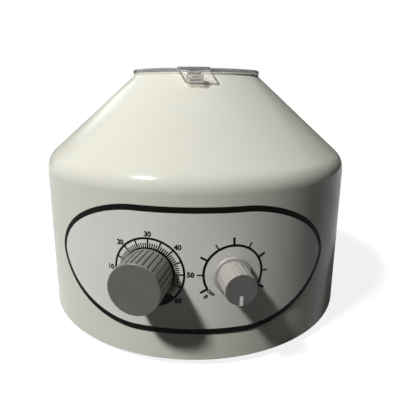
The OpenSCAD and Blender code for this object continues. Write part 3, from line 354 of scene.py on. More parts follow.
def effect(name, inputs, outputs, fill):
    """A shader node group of that name, filled the first time that it is asked for."""
    if name in bpy.data.node_groups:
        return bpy.data.node_groups[name]
    tree = bpy.data.node_groups.new(name, "ShaderNodeTree")
    for direction, names in (("INPUT", inputs), ("OUTPUT", outputs)):
        for each in names:
            tree.interface.new_socket(each, in_out=direction, socket_type=socket_kind(each))
    wiring = Wiring(tree)
    inside = wiring.add("NodeGroupInput").outputs
    made = fill(wiring, inside)
    outside = wiring.add("NodeGroupOutput").inputs
    for each, socket in zip(outputs, made):
        tree.links.new(socket, outside[each])
    return tree


def grain():
    """Fine texture of a moulded or blasted skin."""

    def fill(wiring, given):
        scale = wiring.sum("DIVIDE", 1.0, given["Size"])
        return [wiring.noise(given["Vector"], scale, detail=3.0, rough=0.55)]

    return effect("Moulded grain", ["Vector", "Size"], ["Height"], fill)


def handling():
    """Patches where hands and cloths have left a surface smoother or duller."""

    def fill(wiring, given):
        scale = wiring.sum("DIVIDE", 1.0, given["Size"])
        cloud = wiring.noise(given["Vector"], scale, detail=5.0, rough=0.6)
        return [wiring.ramp(cloud, low=0.35, high=0.68, start=given["Smooth"], end=given["Rough"])]

    return effect("Handling", ["Vector", "Size", "Smooth", "Rough"], ["Roughness"], fill)


def drift():
    """Slow drift of a colour towards a second tone."""

    def fill(wiring, given):
        scale = wiring.sum("DIVIDE", 1.0, given["Size"])
        cloud = wiring.noise(given["Vector"], scale, detail=3.0, rough=0.6)
        share = wiring.ramp(cloud, low=0.3, high=0.72)
        return [wiring.mix(share, given["Colour"], given["Second Colour"])]

    return effect("Tone drift", ["Vector", "Size", "Colour", "Second Colour"], ["Colour"], fill)


def edge_rub():
    """Broken mask along the edges of a piece, where it gets rubbed and where a painted highlight is laid."""

    def fill(wiring, given):
        rounded = wiring.add("ShaderNodeBevel", {"Radius": given["Width"]}, samples=4).outputs[0]
        true = wiring.add("ShaderNodeNewGeometry").outputs["Normal"]
        turned = wiring.add("ShaderNodeVectorMath", {0: rounded, 1: true}, operation="DOT_PRODUCT")
        edge = wiring.ramp(turned.outputs["Value"], low=0.97, high=0.8)
        cloud = wiring.noise(given["Vector"], RUB_SCALE, detail=3.0)
        broken = wiring.ramp(cloud, low=0.35, high=0.62)
        return [wiring.sum("MULTIPLY", edge, wiring.sum("MULTIPLY", broken, given["Share"]))]

    return effect("Edge rub", ["Vector", "Width", "Share"], ["Mask"], fill)


def settled_dust():
    """Thin dust on faces that look up."""

    def fill(wiring, given):
        facing = wiring.add("ShaderNodeTexCoord").outputs["Normal"]
        upward = wiring.height(facing)
        flat = wiring.ramp(upward, low=0.3, high=1.0)
        cloud = wiring.noise(given["Vector"], DUST_SCALE, detail=6.0, rough=0.65)
        patches = wiring.ramp(cloud, low=0.4, high=0.75)
        share = wiring.sum("MULTIPLY", flat, wiring.sum("MULTIPLY", patches, given["Share"]))
        return [wiring.mix(share, given["Colour"], given["Dust Colour"])]

    return effect("Settled dust", ["Vector", "Colour", "Dust Colour", "Share"], ["Colour"], fill)


def turning():
    """Lines that a lathe tool leaves round the Z axis."""

    def fill(wiring, given):
        place = wiring.add("ShaderNodeSeparateXYZ", {0: given["Vector"]}).outputs
        across = wiring.sum("POWER", place["X"], 2.0)
        along = wiring.sum("POWER", place["Y"], 2.0)
        radius = wiring.sum("SQRT", wiring.sum("ADD", across, along))
        line = wiring.add("ShaderNodeCombineXYZ", {"X": radius, "Y": place["Z"]}).outputs[0]
        scale = wiring.sum("DIVIDE", 1.0, given["Pitch"])
        fine = wiring.noise(line, scale, detail=2.0, rough=0.6, noise_dimensions="2D")
        return [fine, wiring.ramp(fine, low=0.3, high=0.7)]

    return effect("Turning lines", ["Vector", "Pitch"], ["Height", "Streak"], fill)


def layers():
    """Even layers stacked along Z, such as laminations or turns of wire."""

    def fill(wiring, given):
        height = wiring.height(given["Vector"])
        count = wiring.sum("DIVIDE", height, given["Pitch"])
        saw = wiring.sum("PINGPONG", count, 0.5)
        ridge = wiring.ramp(saw, low=0.02, high=0.3)
        groove = wiring.ramp(saw, low=0.0, high=0.12, start=1.0, end=0.0)
        return [ridge, groove]

    return effect("Stacked layers", ["Vector", "Pitch"], ["Height", "Groove"], fill)


class Finish:
    """One material while it is built."""

    def __init__(self, name):
        self.material = bpy.data.materials.new(name + FINISH)
        self.material.use_nodes = True
        self.wiring = Wiring(self.material.node_tree)
        self.shader = self.material.node_tree.nodes["Principled BSDF"]
        self.where = self.wiring.add("ShaderNodeTexCoord").outputs["Object"]

    def set(self, **sockets):
        """Sets or joins sockets of the shader, with _ for a space."""
        for name, value in sockets.items():
            title = name.replace("_", " ")
            self.wiring.feed(self.shader.inputs[title], value)

    def use(self, group, output=0, **values):
        """Places a shared effect with its own values, and gives one of its outputs."""
        made = self.wiring.add("ShaderNodeGroup", node_tree=group)
        for name, value in values.items():
            self.wiring.feed(made.inputs[name.replace("_", " ")], value)
        self.wiring.feed(made.inputs["Vector"], self.where)
        return made.outputs[output]

    def worn(self, size, smooth, rough):
        """Lets the roughness change in patches between two values."""
        self.set(Roughness=self.use(handling(), Size=size, Smooth=smooth, Rough=rough))

    def beyond(self, radius, blend):
        """1 outside a cylinder about the Z axis, and 0 inside."""
        flat = self.wiring.add("ShaderNodeVectorMath", {0: self.where, 1: (1, 1, 0)}, operation="MULTIPLY")
        out = self.wiring.add("ShaderNodeVectorMath", {0: flat.outputs[0]}, operation="LENGTH")
        return self.wiring.ramp(out.outputs["Value"], low=radius, high=radius + blend)

    def let_light_through(self, broad, edge):
        """Lets a share of lamplight through broad faces and edges in place of a full shadow."""
        facing = self.wiring.add("ShaderNodeTexCoord").outputs["Normal"]
        tilt = self.wiring.sum("ABSOLUTE", self.wiring.height(facing))
        level = self.wiring.ramp(tilt, low=0.3, high=0.9, start=edge, end=broad)
        shadow = self.wiring.add("ShaderNodeLightPath").outputs["Is Shadow Ray"]
        clear = self.wiring.add("ShaderNodeBsdfTransparent", {"Color": level}).outputs[0]
        inputs = {0: shadow, 1: self.shader.outputs[0], 2: clear}
        both = self.wiring.add("ShaderNodeMixShader", inputs).outputs[0]
        output = self.material.node_tree.nodes["Material Output"]
        self.wiring.feed(output.inputs["Surface"], both)

    def bump(self, height, depth):
        """Lets a height from 0 to 1 disturb the surface, up to a depth in metres; gives the material."""
        inputs = {"Height": height, "Distance": depth}
        self.set(Normal=self.wiring.add("ShaderNodeBump", inputs).outputs[0])
        return self.material

    def grained(self, size, depth):
        """Gives the surface a fine grain as the last step; gives the material."""
        return self.bump(self.use(grain(), Size=size), depth)


def shade(base, share):
    """A colour made darker or lighter by a share."""
    return [part * share for part in base]


def shell_plastic(looks):
    """Glossy warm white moulding with a faint orange peel, ageing and dust."""
    made = Finish("shell_abs")
    aged = made.use(drift(), Size=70 * MM, Colour=looks.shell, Second_Colour=looks.shell_shade)
    dusty = made.use(settled_dust(), Colour=aged, Dust_Colour=looks.dust, Share=0.02)
    made.set(Base_Color=dusty)
    made.worn(size=60 * MM, smooth=0.2, rough=0.25)
    made.set(Specular_IOR_Level=0.15)
    return made.grained(size=2.2 * MM, depth=0.012 * MM)


def panel_foil(looks):
    """Satin plastic foil with a fine even texture."""
    made = Finish("foil_face")
    tone = made.use(drift(), Size=45 * MM, Colour=looks.panel, Second_Colour=looks.panel_shade)
    made.set(Base_Color=tone)
    made.worn(size=18 * MM, smooth=0.32, rough=0.44)
    made.set(Specular_IOR_Level=0.2)
    return made.grained(size=0.35 * MM, depth=0.006 * MM)


def black_ink(looks):
    """Screen-printed ink, slightly rubbed."""
    made = Finish("foil_border")
    tone = made.use(drift(), Size=3 * MM, Colour=looks.ink, Second_Colour=looks.ink_worn)
    made.set(Base_Color=tone)
    made.worn(size=8 * MM, smooth=0.5, rough=0.6)
    made.set(Specular_IOR_Level=0.06)
    return made.grained(size=0.3 * MM, depth=0.005 * MM)


def knob_plastic(name, node, joint, grip, face, looks):
    """Grey moulded knob with fine grain, a face given a darker grey as painted shade, and lighter edges that
    are partly rubbed wear and partly painted highlight.
    """
    made = Finish(name)
    out = -Vector(JOINTS[joint]["axis"])
    place = Vector(JOINTS[joint]["pos_m"])
    top = max((vertex.co - place).dot(out) for vertex in NODES[node].data.vertices)
    along = made.wiring.add("ShaderNodeVectorMath", {0: made.where, 1: out}, operation="DOT_PRODUCT")
    level = place.dot(out) + top
    # Painted shade: the face takes a darker grey than the grip
    face_shade_share = made.wiring.ramp(along.outputs["Value"], level - FACE_SHADE_DEPTH[0], level - FACE_SHADE_DEPTH[1])
    base = made.wiring.mix(face_shade_share, grip, face)
    darker = made.wiring.mix(0.12, base, (0, 0, 0))
    tone = made.use(drift(), Size=9 * MM, Colour=base, Second_Colour=darker)
    # Lighter grey on the edges: partly rubbed wear, partly painted highlight
    rub_and_highlight = made.use(edge_rub(), Width=0.5 * MM, Share=0.6)
    made.set(Base_Color=made.wiring.mix(rub_and_highlight, tone, looks.rubbed))
    made.worn(size=7 * MM, smooth=0.3, rough=0.42)
    return made.grained(size=0.5 * MM, depth=0.012 * MM)


def pointer_paint(looks):
    """White moulded pointer with a little grime."""
    made = Finish("pointer_white")
    grime = shade(looks.pointer, 0.93)
    made.set(Base_Color=made.use(drift(), Size=2 * MM, Colour=looks.pointer, Second_Colour=grime))
    made.worn(size=3 * MM, smooth=0.32, rough=0.45)
    return made.grained(size=0.4 * MM, depth=0.006 * MM)


def disc_radius():
    """Radius of the lid's round disc, without its tongue and hinge."""
    points = [vertex.co for vertex in NODES["lid"].data.vertices]
    return max(point.xy.length for point in points if abs(point.x) > abs(point.y))


def tongue_foot():
    """Height of the underside of the lid's tongue."""
    front = -disc_radius() - TONGUE_CLEAR
    points = [vertex.co for vertex in NODES["lid"].data.vertices]
    tip = [point for point in points if point.y < front]
    side = max(point.x for point in tip)
    return min(point.z for point in tip if point.x > side - TONGUE_SIDE)


def lid_plastic(looks, clear):
    """Clear smoke-tinted lid whose tongue has dull edges and a pale lug for the clip."""
    made = Finish("lid_smoke")
    tongue = made.beyond(disc_radius(), TONGUE_BLEND)
    height = made.wiring.height(made.where)
    foot = tongue_foot()
    low = made.wiring.ramp(height, low=foot, high=foot - LUG_BLEND)
    lug = made.wiring.sum("MULTIPLY", tongue, low)
    tint = made.wiring.mix(made.wiring.sum("MULTIPLY", lug, clear.lug), looks.lid, looks.clip)
    edge = made.wiring.ramp(tongue, 0.0, 1.0, clear.rim_light, clear.tongue_light)
    return clear_plastic(made, tint, clear.lid, edge, looks, clear)


def clip_plastic(looks, clear):
    """Milky clear latch clip."""
    return clear_plastic(Finish("clip_clear"), looks.clip, clear.clip, clear.clip_light, looks, clear)


def clear_plastic(made, tint, transmission, edge, looks, clear):
    """Clear tinted moulding with handling marks and a trace of dust, which lets lamplight through."""
    deeper = made.wiring.mix(0.15, tint, (0, 0, 0))
    tone = made.use(drift(), Size=30 * MM, Colour=tint, Second_Colour=deeper)
    made.set(Base_Color=made.use(settled_dust(), Colour=tone, Dust_Colour=looks.dust, Share=0.08))
    made.set(Transmission_Weight=transmission, IOR=ACRYLIC_IOR)
    made.worn(size=14 * MM, smooth=0.06, rough=0.16)
    made.let_light_through(clear.face_light, edge)
    return made.grained(size=1.5 * MM, depth=0.003 * MM)


def rubber(name, looks):
    """Dull black rubber with a bloom of dust."""
    made = Finish(name)
    bloom = shade(looks.rubber, 2.2)
    tone = made.use(drift(), Size=5 * MM, Colour=looks.rubber, Second_Colour=bloom)
    made.set(Base_Color=made.use(settled_dust(), Colour=tone, Dust_Colour=looks.dust, Share=0.12))
    made.worn(size=4 * MM, smooth=0.62, rough=0.82)
    return made.grained(size=0.4 * MM, depth=0.02 * MM)


def turned_metal(name, base, pitch, smooth, rough):
    """Metal turned about the vertical axis, with tool lines; pitch in millimetres."""
    made = Finish(name)
    darker = shade(base, 0.8)
    streak = made.use(turning(), "Streak", Pitch=pitch * MM)
    made.set(Base_Color=made.wiring.mix(streak, base, darker), Metallic=1.0)
    made.worn(size=12 * MM, smooth=smooth, rough=rough)
    return made.bump(made.use(turning(), "Height", Pitch=pitch * MM), 0.008 * MM)


def plated_metal(name, base, size, smooth, rough, depth):
    """Plated, blasted or cast metal with a fine crystalline skin; size and depth in millimetres."""
    made = Finish(name)
    patch = size * MM
    darker = shade(base, 0.82)
    made.set(Base_Color=made.use(drift(), Size=patch, Colour=base, Second_Colour=darker), Metallic=1.0)
    made.worn(size=patch * 2, smooth=smooth, rough=rough)
    return made.grained(size=patch * 0.2, depth=depth * MM)


def laminated_steel(name, base, pitch):
    """Core stacked from thin varnished sheets; pitch in millimetres."""
    made = Finish(name)
    groove = made.use(layers(), "Groove", Pitch=pitch * MM)
    made.set(Base_Color=made.wiring.mix(groove, base, shade(base, 0.25)), Metallic=0.8)
    made.worn(size=6 * MM, smooth=0.35, rough=0.55)
    return made.bump(made.use(layers(), "Height", Pitch=pitch * MM), 0.05 * MM)


def wound_wire(name, base, pitch):
    """Enamelled wire laid in turns, with painted shade darkening the grooves between turns; pitch in
    millimetres.
    """
    made = Finish(name)
    groove = made.use(layers(), "Groove", Pitch=pitch * MM)
    # Painted shade: the grooves between the turns are darkened
    made.set(Base_Color=made.wiring.mix(groove, base, shade(base, 0.2)), Metallic=0.9)
    made.worn(size=5 * MM, smooth=0.22, rough=0.4)
    return made.bump(made.use(layers(), "Height", Pitch=pitch * MM), 0.12 * MM)


def dull_plastic(name, base, size, smooth, rough, depth):
    """Plain technical plastic, paint or board with an even texture; size and depth in millimetres."""
    made = Finish(name)
    patch = size * MM
    darker = shade(base, 0.78)
    made.set(Base_Color=made.use(drift(), Size=patch * 8, Colour=base, Second_Colour=darker))
    made.worn(size=patch * 12, smooth=smooth, rough=rough)
    return made.grained(size=patch, depth=depth * MM)


def dress(material):
    """Puts a finish on every solid whose slot has its name."""
    for node, slot in SLOT_OF.items():
        if slot + FINISH != material.name:
            continue
        for each in NODES[node].material_slots:
            each.material = material
        NODES[node]["dressed"] = True


def select_none():
    """Drops the selection."""
    bpy.ops.object.select_all(action="DESELECT")


def only(piece):
    """Selects one object and makes it active."""
    select_none()
    piece.select_set(True)
    bpy.context.view_layer.objects.active = piece


def settle(piece, name):
    """Writes a piece's place into its mesh and names it."""
    only(piece)
    bpy.ops.object.transform_apply(location=True, rotation=True, scale=True)
    piece.name = name
    piece.data.name = name
    return piece


def select_points(piece, test):
    """Selects the points of a piece that pass a test, in edit mode, and nothing else."""
    only(piece)
    bpy.ops.object.mode_set(mode="EDIT")
    bpy.ops.mesh.select_all(action="DESELECT")
    bpy.ops.object.mode_set(mode="OBJECT")
    for vertex in piece.data.vertices:
        vertex.select = test(vertex.co)
    bpy.ops.object.mode_set(mode="EDIT")


def arc_band(radius, line, start, sweep):
    """Flat ring line: one short radial edge spun about the dial's centre."""
    select_none()
    bpy.ops.mesh.primitive_plane_add(size=line)
    band = bpy.context.object
    select_points(band, lambda point: point.y > 0)
    bpy.ops.mesh.delete(type="VERT")
    bpy.ops.mesh.select_all(action="SELECT")
    bpy.ops.transform.translate(value=(radius, line / 2, 0))
    steps = max(ARC_LEAST, round(sweep / ARC_STEP))
    bpy.ops.mesh.spin(steps=steps, angle=sweep, center=(0, 0, 0), axis=(0, 0, -1))
    bpy.ops.mesh.select_all(action="SELECT")
    bpy.ops.mesh.remove_doubles(threshold=line / 100)
    bpy.ops.mesh.normals_make_consistent(inside=False)
    bpy.ops.object.mode_set(mode="OBJECT")
    band.data.transform(Matrix.Rotation(start - sweep, 4, "Z"))
    return band


def wedge(inner, outer, start, sweep):
    """Filled band between two radii that narrows to the outer one."""
    line = outer - inner
    made = arc_band((inner + outer) / 2, line, start, sweep)
    for vertex in made.data.vertices:
        gone = (start - math.atan2(vertex.co.y, vertex.co.x)) % math.tau / sweep
        radius = vertex.co.xy.length
        kept = outer - (outer - radius) * (1 - min(gone, 1) ** 3)
        vertex.co = vertex.co * (kept / radius)
    return made


def tick(line, inner, outer):
    """Flat tick along the X axis, cut so that it can bend."""
    select_none()
    bpy.ops.mesh.primitive_plane_add(size=1)
    made = bpy.context.object
    bpy.ops.object.mode_set(mode="EDIT")
    bpy.ops.mesh.select_all(action="SELECT")
    bpy.ops.transform.resize(value=(outer - inner, line, 1))
    bpy.ops.transform.translate(value=((inner + outer) / 2, 0, 0))
    bpy.ops.mesh.subdivide(number_cuts=2)
    bpy.ops.object.mode_set(mode="OBJECT")
    return made


def fan_out(pattern, angles):
    """Copies of a tick, each with its own mesh, turned about the dial's centre."""
    copies = []
    for turn in angles:
        copy = pattern.copy()
        copy.data = pattern.data.copy()
        copy.data.transform(Matrix.Rotation(turn, 4, "Z"))
        bpy.context.collection.objects.link(copy)
        copies.append(copy)
    bpy.data.objects.remove(pattern)
    return copies


def characters(body, size, radius, turn, tilt=0.0):
    """A number or short word made mesh, centred on a point of the dial."""
    select_none()
    bpy.ops.object.text_add()
    made = bpy.context.object
    made.data.body = body
    made.data.size = size
    made.data.align_x = "CENTER"
    made.data.align_y = "CENTER"
    made.data.resolution_u = CHARACTER_STEPS
    made.data.offset = size * settings().ink.bold
    bpy.ops.object.convert(target="MESH")
    made = bpy.context.object
    place = Matrix.Rotation(turn, 4, "Z") @ Vector((radius, 0, 0))
    made.data.transform(Matrix.Translation(place) @ Matrix.Rotation(tilt, 4, "Z"))
    return made


def panel_radius():
    """Outer radius of the panel's face as a straight line over height: foot, radius there, slope."""
    points = [vertex.co for vertex in NODES["panel_label"].data.vertices]
    ends = []
    for pick in (min, max):
        height = pick(point.z for point in points)
        level = [point for point in points if abs(point.z - height) < LEVEL_GAP]
        ends.append((height, max(point.xy.length for point in level)))
    (low, low_radius), (high, high_radius) = ends
    return low, low_radius, (high_radius - low_radius) / (high - low)


def lay_print(parts, name, joint, shift=0.0):
    """Joins flat print, gives it its ink thickness and lays it round a knob on the drafted wall."""
    select_none()
    for part in parts:
        part.select_set(True)
    bpy.context.view_layer.objects.active = parts[0]
    bpy.ops.object.join()
    piece = settle(bpy.context.object, name)
    ink = settings().ink
    thick = piece.modifiers.new("Ink", "SOLIDIFY")
    thick.thickness = ink.ink
    thick.offset = 1
    bpy.ops.object.modifier_apply(modifier=thick.name)
    foot, radius, slope = panel_radius()
    axis = Vector(JOINTS[joint]["axis"])
    middle = Vector(JOINTS[joint]["pos_m"])
    azimuth = math.atan2(-axis.x, axis.y)
    around = radius + slope * (middle.z - foot)
    for vertex in piece.data.vertices:
        across, up, out = vertex.co
        height = middle.z + up
        reach = radius + slope * (height - foot) + ink.seat + out
        turn = azimuth + (across + shift) / around
        vertex.co = (reach * math.sin(turn), -reach * math.cos(turn), height)
    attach(piece, "housing")
    piece.data.materials.clear()
    piece.data.materials.append(bpy.data.materials["foil_border" + FINISH])


class CENTRIFUGE_OT_housing(bpy.types.Operator):
    """Finishes the housing, its base, feet and cord gland"""

    bl_idname = "centrifuge.housing"
    bl_label = "Housing"

    def execute(self, context):
        looks = settings().looks
        dress(shell_plastic(looks))
        dress(rubber("foot_rubber", looks))
        dress(plated_metal("zinc_steel", looks.zinc, size=6, smooth=0.34, rough=0.5, depth=0.01))
        dress(plated_metal("screw_steel", looks.zinc, size=2, smooth=0.24, rough=0.4, depth=0.006))
        dress(dull_plastic("gland_black", looks.gland, size=0.5, smooth=0.38, rough=0.55, depth=0.02))
        return {"FINISHED"}


class CENTRIFUGE_OT_panel(bpy.types.Operator):
    """Finishes the printed panel and its border"""

    bl_idname = "centrifuge.panel"
    bl_label = "Panel"

    def execute(self, context):
        looks = settings().looks
        dress(panel_foil(looks))
        dress(black_ink(looks))
        return {"FINISHED"}


class CENTRIFUGE_OT_timer_dial(bpy.types.Operator):
    """Prints the minute scale round the timer knob"""

    bl_idname = "centrifuge.timer_dial"
    bl_label = "Timer dial"

    def execute(self, context):
        dial = settings().timer
        step = dial.sweep / dial.minutes
        turns = [dial.zero - step * minute for minute in range(dial.minutes + 1)]
        full = math.tau
        parts = [
            arc_band(dial.ring, dial.ring_line, full, full),
            arc_band(dial.inner, dial.inner_line, full, full),
        ]
        minute_turns = [turn for minute, turn in enumerate(turns) if minute % dial.long_step]
        parts += fan_out(tick(dial.minute_line, dial.inner, dial.minute_end), minute_turns)
        parts += fan_out(tick(dial.five_line, dial.inner, dial.ring), turns[::dial.long_step])
        parts.append(wedge(dial.inner, dial.ring, turns[-1], dial.wedge))
        for minute in range(0, dial.minutes + 1, dial.number_step):
            across = dial.number_ring * math.cos(turns[minute])
            up = dial.number_rise * math.sin(turns[minute])
            radius, turn = math.hypot(across, up), math.atan2(up, across)
            parts.append(characters(str(minute), dial.number_height, radius, turn))
        lay_print(parts, "timer_dial_print", "timer_turn")
        return {"FINISHED"}


class CENTRIFUGE_OT_speed_dial(bpy.types.Operator):
    """Prints the speed scale round the speed knob"""

    bl_idname = "centrifuge.speed_dial"
    bl_label = "Speed dial"

    def execute(self, context):
        dial = settings().speed
        step = dial.sweep / dial.steps
        turns = [dial.zero - step * count for count in range(dial.steps + 1)]
        parts = [arc_band(dial.ring, dial.ring_line, dial.zero, dial.sweep)]
        parts += fan_out(tick(dial.long_line, dial.ring, dial.long_end), turns[::2])
        parts += fan_out(tick(dial.short_line, dial.ring, dial.short_end), turns[1::2])
        tangent = dial.mark_angle - math.radians(270)
        parts.append(characters("0", dial.number_height, dial.number_ring, dial.mark_angle, tangent))
        parts.append(characters("OFF", dial.word_height, dial.word_ring, dial.mark_angle, tangent))
        lay_print(parts, "speed_dial_print", "speed_turn", dial.shift)
        return {"FINISHED"}


class CENTRIFUGE_OT_knobs(bpy.types.Operator):
    """Finishes both knobs, the pointer and the bright shafts"""

    bl_idname = "centrifuge.knobs"
    bl_label = "Knobs"

    def execute(self, context):
        looks = settings().looks
        dress(knob_plastic(
            "knob_grey", "timer_knob", "timer_turn", looks.timer_grip, looks.timer_face, looks
        ))
        dress(knob_plastic(
            "knob_light", "speed_knob", "speed_turn", looks.speed_grip, looks.speed_face, looks
        ))
        dress(pointer_paint(looks))
        dress(turned_metal("shaft_steel", looks.steel, pitch=0.25, smooth=0.16, rough=0.28))
        return {"FINISHED"}


class CENTRIFUGE_OT_lid(bpy.types.Operator):
    """Finishes the clear lid and its latch clip"""

    bl_idname = "centrifuge.lid"
    bl_label = "Lid"

    def execute(self, context):
        looks, clear = settings().looks, settings().clear
        dress(lid_plastic(looks, clear))
        dress(clip_plastic(looks, clear))
        return {"FINISHED"}


class CENTRIFUGE_OT_rotor(bpy.types.Operator):
    """Finishes the chamber, the rotor head, its sleeves and seals"""

    bl_idname = "centrifuge.rotor"
    bl_label = "Rotor and chamber"

    def execute(self, context):
        looks = settings().looks
        dress(turned_metal("rotor_aluminium", looks.aluminium, pitch=0.4, smooth=0.26, rough=0.4))
        dress(plated_metal(
            "sleeve_aluminium", looks.aluminium, size=1.5, smooth=0.3, rough=0.42, depth=0.004
        ))
        dress(turned_metal("bowl_metal", looks.zinc, pitch=0.8, smooth=0.34, rough=0.5))
        dress(rubber("seal_rubber", looks))
        return {"FINISHED"}


class CENTRIFUGE_OT_motor(bpy.types.Operator):
    """Finishes the motor's can, core, windings, brushes and fan"""

    bl_idname = "centrifuge.motor"
    bl_label = "Motor"

    def execute(self, context):
        looks = settings().looks
        dress(dull_plastic("motor_paint", looks.motor, size=0.8, smooth=0.34, rough=0.5, depth=0.03))
        dress(laminated_steel("core_steel", looks.steel, pitch=0.7))
        dress(wound_wire("copper_wire", looks.copper, pitch=0.6))
        dress(plated_metal("brass_part", looks.brass, size=2, smooth=0.22, rough=0.38, depth=0.005))
        dress(dull_plastic("carbon_black", looks.carbon, size=0.3, smooth=0.5, rough=0.7, depth=0.02))
        dress(dull_plastic("fan_plastic", looks.fan, size=0.4, smooth=0.35, rough=0.5, depth=0.01))
        return {"FINISHED"}


class CENTRIFUGE_OT_electrics(bpy.types.Operator):
    """Finishes the timer, the speed control and the control board"""

    bl_idname = "centrifuge.electrics"
    bl_label = "Electrics"

    def execute(self, context):
        looks = settings().looks
        dress(dull_plastic("timer_phenolic", looks.phenolic, size=0.6, smooth=0.3, rough=0.45, depth=0.01))
        dress(dull_plastic("pot_body", looks.pot, size=0.5, smooth=0.28, rough=0.42, depth=0.006))
        dress(dull_plastic("board_green", looks.board, size=0.7, smooth=0.28, rough=0.42, depth=0.01))
        dress(dull_plastic("component_dark", looks.component, size=0.5, smooth=0.36, rough=0.5, depth=0.01))
        return {"FINISHED"}


def background_share(wiring):
    """1 for the rays that see the background: straight from the camera, mirrored or through glass."""
    path = wiring.add("ShaderNodeLightPath").outputs
    mirrored = wiring.sum("MAXIMUM", path["Is Glossy Ray"], path["Is Transmission Ray"])
    return wiring.sum("MAXIMUM", path["Is Camera Ray"], mirrored)


def lit_room(stage):
    """White background over a dim room that is brighter above than below."""
    world = bpy.data.worlds.new("room")
    world.use_nodes = True
    bpy.context.scene.world = world
    wiring = Wiring(world.node_tree)
    world.node_tree.nodes.clear()
    direction = wiring.add("ShaderNodeTexCoord").outputs["Generated"]
    upward = wiring.height(direction)
    level = wiring.ramp(upward, HORIZON, 1.0, stage.ground_level, stage.sky_level)
    dim = wiring.add("ShaderNodeBackground", {"Color": (1, 1, 1), "Strength": level}).outputs[0]
    white = wiring.add("ShaderNodeBackground", {"Color": (1, 1, 1), "Strength": 1.0}).outputs[0]
    share = background_share(wiring)
    mixed = wiring.add("ShaderNodeMixShader", {0: share, 1: dim, 2: white}).outputs[0]
    wiring.add("ShaderNodeOutputWorld", {"Surface": mixed})


def pale_floor(stage):
    """Floor that looks white, keeps a soft shadow and is clear from below."""
    select_none()
    bpy.ops.mesh.primitive_plane_add(size=FLOOR_SIDE, location=(0, 0, CAD_BOX[0].z))
    floor = settle(bpy.context.object, "floor")
    material = bpy.data.materials.new("pale_floor")
    material.use_nodes = True
    material.node_tree.nodes.clear()
    wiring = Wiring(material.node_tree)
    seen_share = background_share(wiring)
    glossy = wiring.add("ShaderNodeLightPath").outputs["Is Glossy Ray"]
    pale = wiring.mix(seen_share, FLOOR_DIM, stage.floor)
    matt = wiring.add("ShaderNodeBsdfDiffuse", {"Color": pale}).outputs[0]
    glow = wiring.add("ShaderNodeEmission", {"Color": (1, 1, 1), "Strength": FLOOR_GLOW}).outputs[0]
    place = wiring.add("ShaderNodeTexCoord").outputs["Object"]
    far = wiring.add("ShaderNodeVectorMath", {0: place}, operation="LENGTH").outputs["Value"]
    near = wiring.ramp(glossy, 0.0, 1.0, FLOOR_WHITE, 0.0)
    share = wiring.sum("MULTIPLY", seen_share, wiring.ramp(far, *FLOOR_FADE, near, 1.0))
    seen = wiring.add("ShaderNodeMixShader", {0: share, 1: matt, 2: glow}).outputs[0]
    clear = wiring.add("ShaderNodeBsdfTransparent").outputs[0]
    behind = wiring.add("ShaderNodeNewGeometry").outputs["Backfacing"]
    both = wiring.add("ShaderNodeMixShader", {0: behind, 1: seen, 2: clear}).outputs[0]
    wiring.add("ShaderNodeOutputMaterial", {"Surface": both})
    floor.data.materials.append(material)


def dark_flag(stage):
    """Band of dark cloth round the front and the shaded side, seen only in soft light and gloss."""
    select_none()
    bpy.ops.mesh.primitive_circle_add(
        vertices=FLAG_STEPS, radius=stage.flag_reach, location=(0, 0, CAD_BOX[0].z)
    )
    flag = settle(bpy.context.object, "flag")
    front, back = -stage.flag_front * stage.flag_reach, -stage.flag_back * stage.flag_reach
    select_points(flag, lambda point: point.x < (back if point.y > 0 else front))
    bpy.ops.mesh.delete(type="VERT")
    bpy.ops.mesh.select_all(action="SELECT")
    bpy.ops.mesh.extrude_region_move(TRANSFORM_OT_translate={"value": (0, 0, stage.flag_height)})
    bpy.ops.object.mode_set(mode="OBJECT")
    material = bpy.data.materials.new("dark_cloth")
    material.use_nodes = True
    shader = material.node_tree.nodes["Principled BSDF"]
    shader.inputs["Base Color"].default_value = (*stage.flag, 1)
    shader.inputs["Roughness"].default_value = 1
    shader.inputs["Specular IOR Level"].default_value = 0
    flag.data.materials.append(material)
    flag.visible_camera = False
    flag.visible_shadow = False
    flag.visible_transmission = False


def soft_lamp(name, turn, rise, reach, size, level):
    """Square lamp aimed at the object: turn is from the front towards the left."""
    centre = (CAD_BOX[0] + CAD_BOX[1]) / 2
    flat = math.cos(rise)
    direction = Vector((-math.sin(turn) * flat, -math.cos(turn) * flat, math.sin(rise)))
    lamp = bpy.data.lights.new(name, "AREA")
    lamp.size = size
    lamp.energy = level * (math.pi * reach) ** 2
    holder = bpy.data.objects.new(name, lamp)
    holder.location = centre + direction * reach
    holder.rotation_euler = direction.to_track_quat("Z", "Y").to_euler()
    bpy.context.collection.objects.link(holder)


def camera(stage):
    """Camera at the photograph's viewing angle."""
    lens = bpy.data.cameras.new("camera")
    lens.lens = stage.camera_lens
    lens.sensor_width = SENSOR_WIDTH
    lens.clip_start = CAMERA_NEAR
    holder = bpy.data.objects.new("camera", lens)
    place = Vector(stage.camera_place)
    sight = Vector(stage.camera_aim) - place
    roll = Quaternion((0, 0, 1), stage.camera_roll)
    holder.location = place
    holder.rotation_euler = (sight.to_track_quat("-Z", "Y") @ roll).to_euler()
    bpy.context.collection.objects.link(holder)
    bpy.context.scene.camera = holder


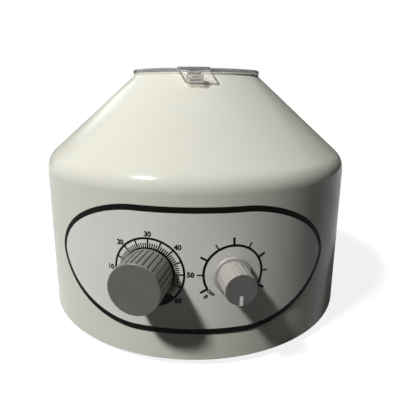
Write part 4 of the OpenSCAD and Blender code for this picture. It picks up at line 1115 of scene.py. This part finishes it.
class CENTRIFUGE_OT_stage(bpy.types.Operator):
    """Sets up the floor, the room, the lamps and the camera"""

    bl_idname = "centrifuge.stage"
    bl_label = "Stage"

    def execute(self, context):
        stage = settings().stage
        context.scene.view_settings.view_transform = "Standard"
        lit_room(stage)
        pale_floor(stage)
        dark_flag(stage)
        soft_lamp(
            "key_lamp", stage.key_turn, stage.key_rise, stage.key_reach, stage.key_size, stage.key_level
        )
        soft_lamp(
            "rear_lamp", stage.rear_turn, stage.rear_rise, stage.rear_reach, stage.rear_size,
            stage.rear_level,
        )
        camera(stage)
        return {"FINISHED"}


STEPS = (
    CENTRIFUGE_OT_housing,
    CENTRIFUGE_OT_panel,
    CENTRIFUGE_OT_timer_dial,
    CENTRIFUGE_OT_speed_dial,
    CENTRIFUGE_OT_knobs,
    CENTRIFUGE_OT_lid,
    CENTRIFUGE_OT_rotor,
    CENTRIFUGE_OT_motor,
    CENTRIFUGE_OT_electrics,
    CENTRIFUGE_OT_stage,
)


class CENTRIFUGE_PT_sidebar(bpy.types.Panel):
    """Lists the steps that dress the centrifuge"""

    bl_idname = "CENTRIFUGE_PT_sidebar"
    bl_label = "Centrifuge"
    bl_space_type = "VIEW_3D"
    bl_region_type = "UI"
    bl_category = "Centrifuge"

    def draw(self, context):
        for step in STEPS:
            self.layout.operator(step.bl_idname)
        values = settings()
        for group in (values.timer, values.speed, values.ink, values.looks, values.clear, values.stage):
            box = self.layout.box()
            for name in group.__annotations__:
                box.prop(group, name)


GROUPS = (
    TimerDialSizes,
    SpeedDialSizes,
    PrintSizes,
    Finishes,
    ClearPlastic,
    StageSettings,
    CentrifugeSettings,
)


def register():
    """Adds the classes and the scene's values."""
    for each in (*GROUPS, *STEPS, CENTRIFUGE_PT_sidebar):
        bpy.utils.register_class(each)
    bpy.types.Scene.centrifuge = PointerProperty(
        type=CentrifugeSettings, name="Centrifuge", description="Values of the centrifuge"
    )


def unregister():
    """Takes the classes and the scene's values away again."""
    del bpy.types.Scene.centrifuge
    for each in reversed((*GROUPS, *STEPS, CENTRIFUGE_PT_sidebar)):
        bpy.utils.unregister_class(each)


def main():
    register()
    for step in STEPS:
        group, name = step.bl_idname.split(".")
        getattr(getattr(bpy.ops, group), name)()
    bare = sorted(node for node in NODES if "dressed" not in NODES[node])
    if bare:
        raise RuntimeError(f"no finish on {bare}")


if __name__ == "__main__":
    main()
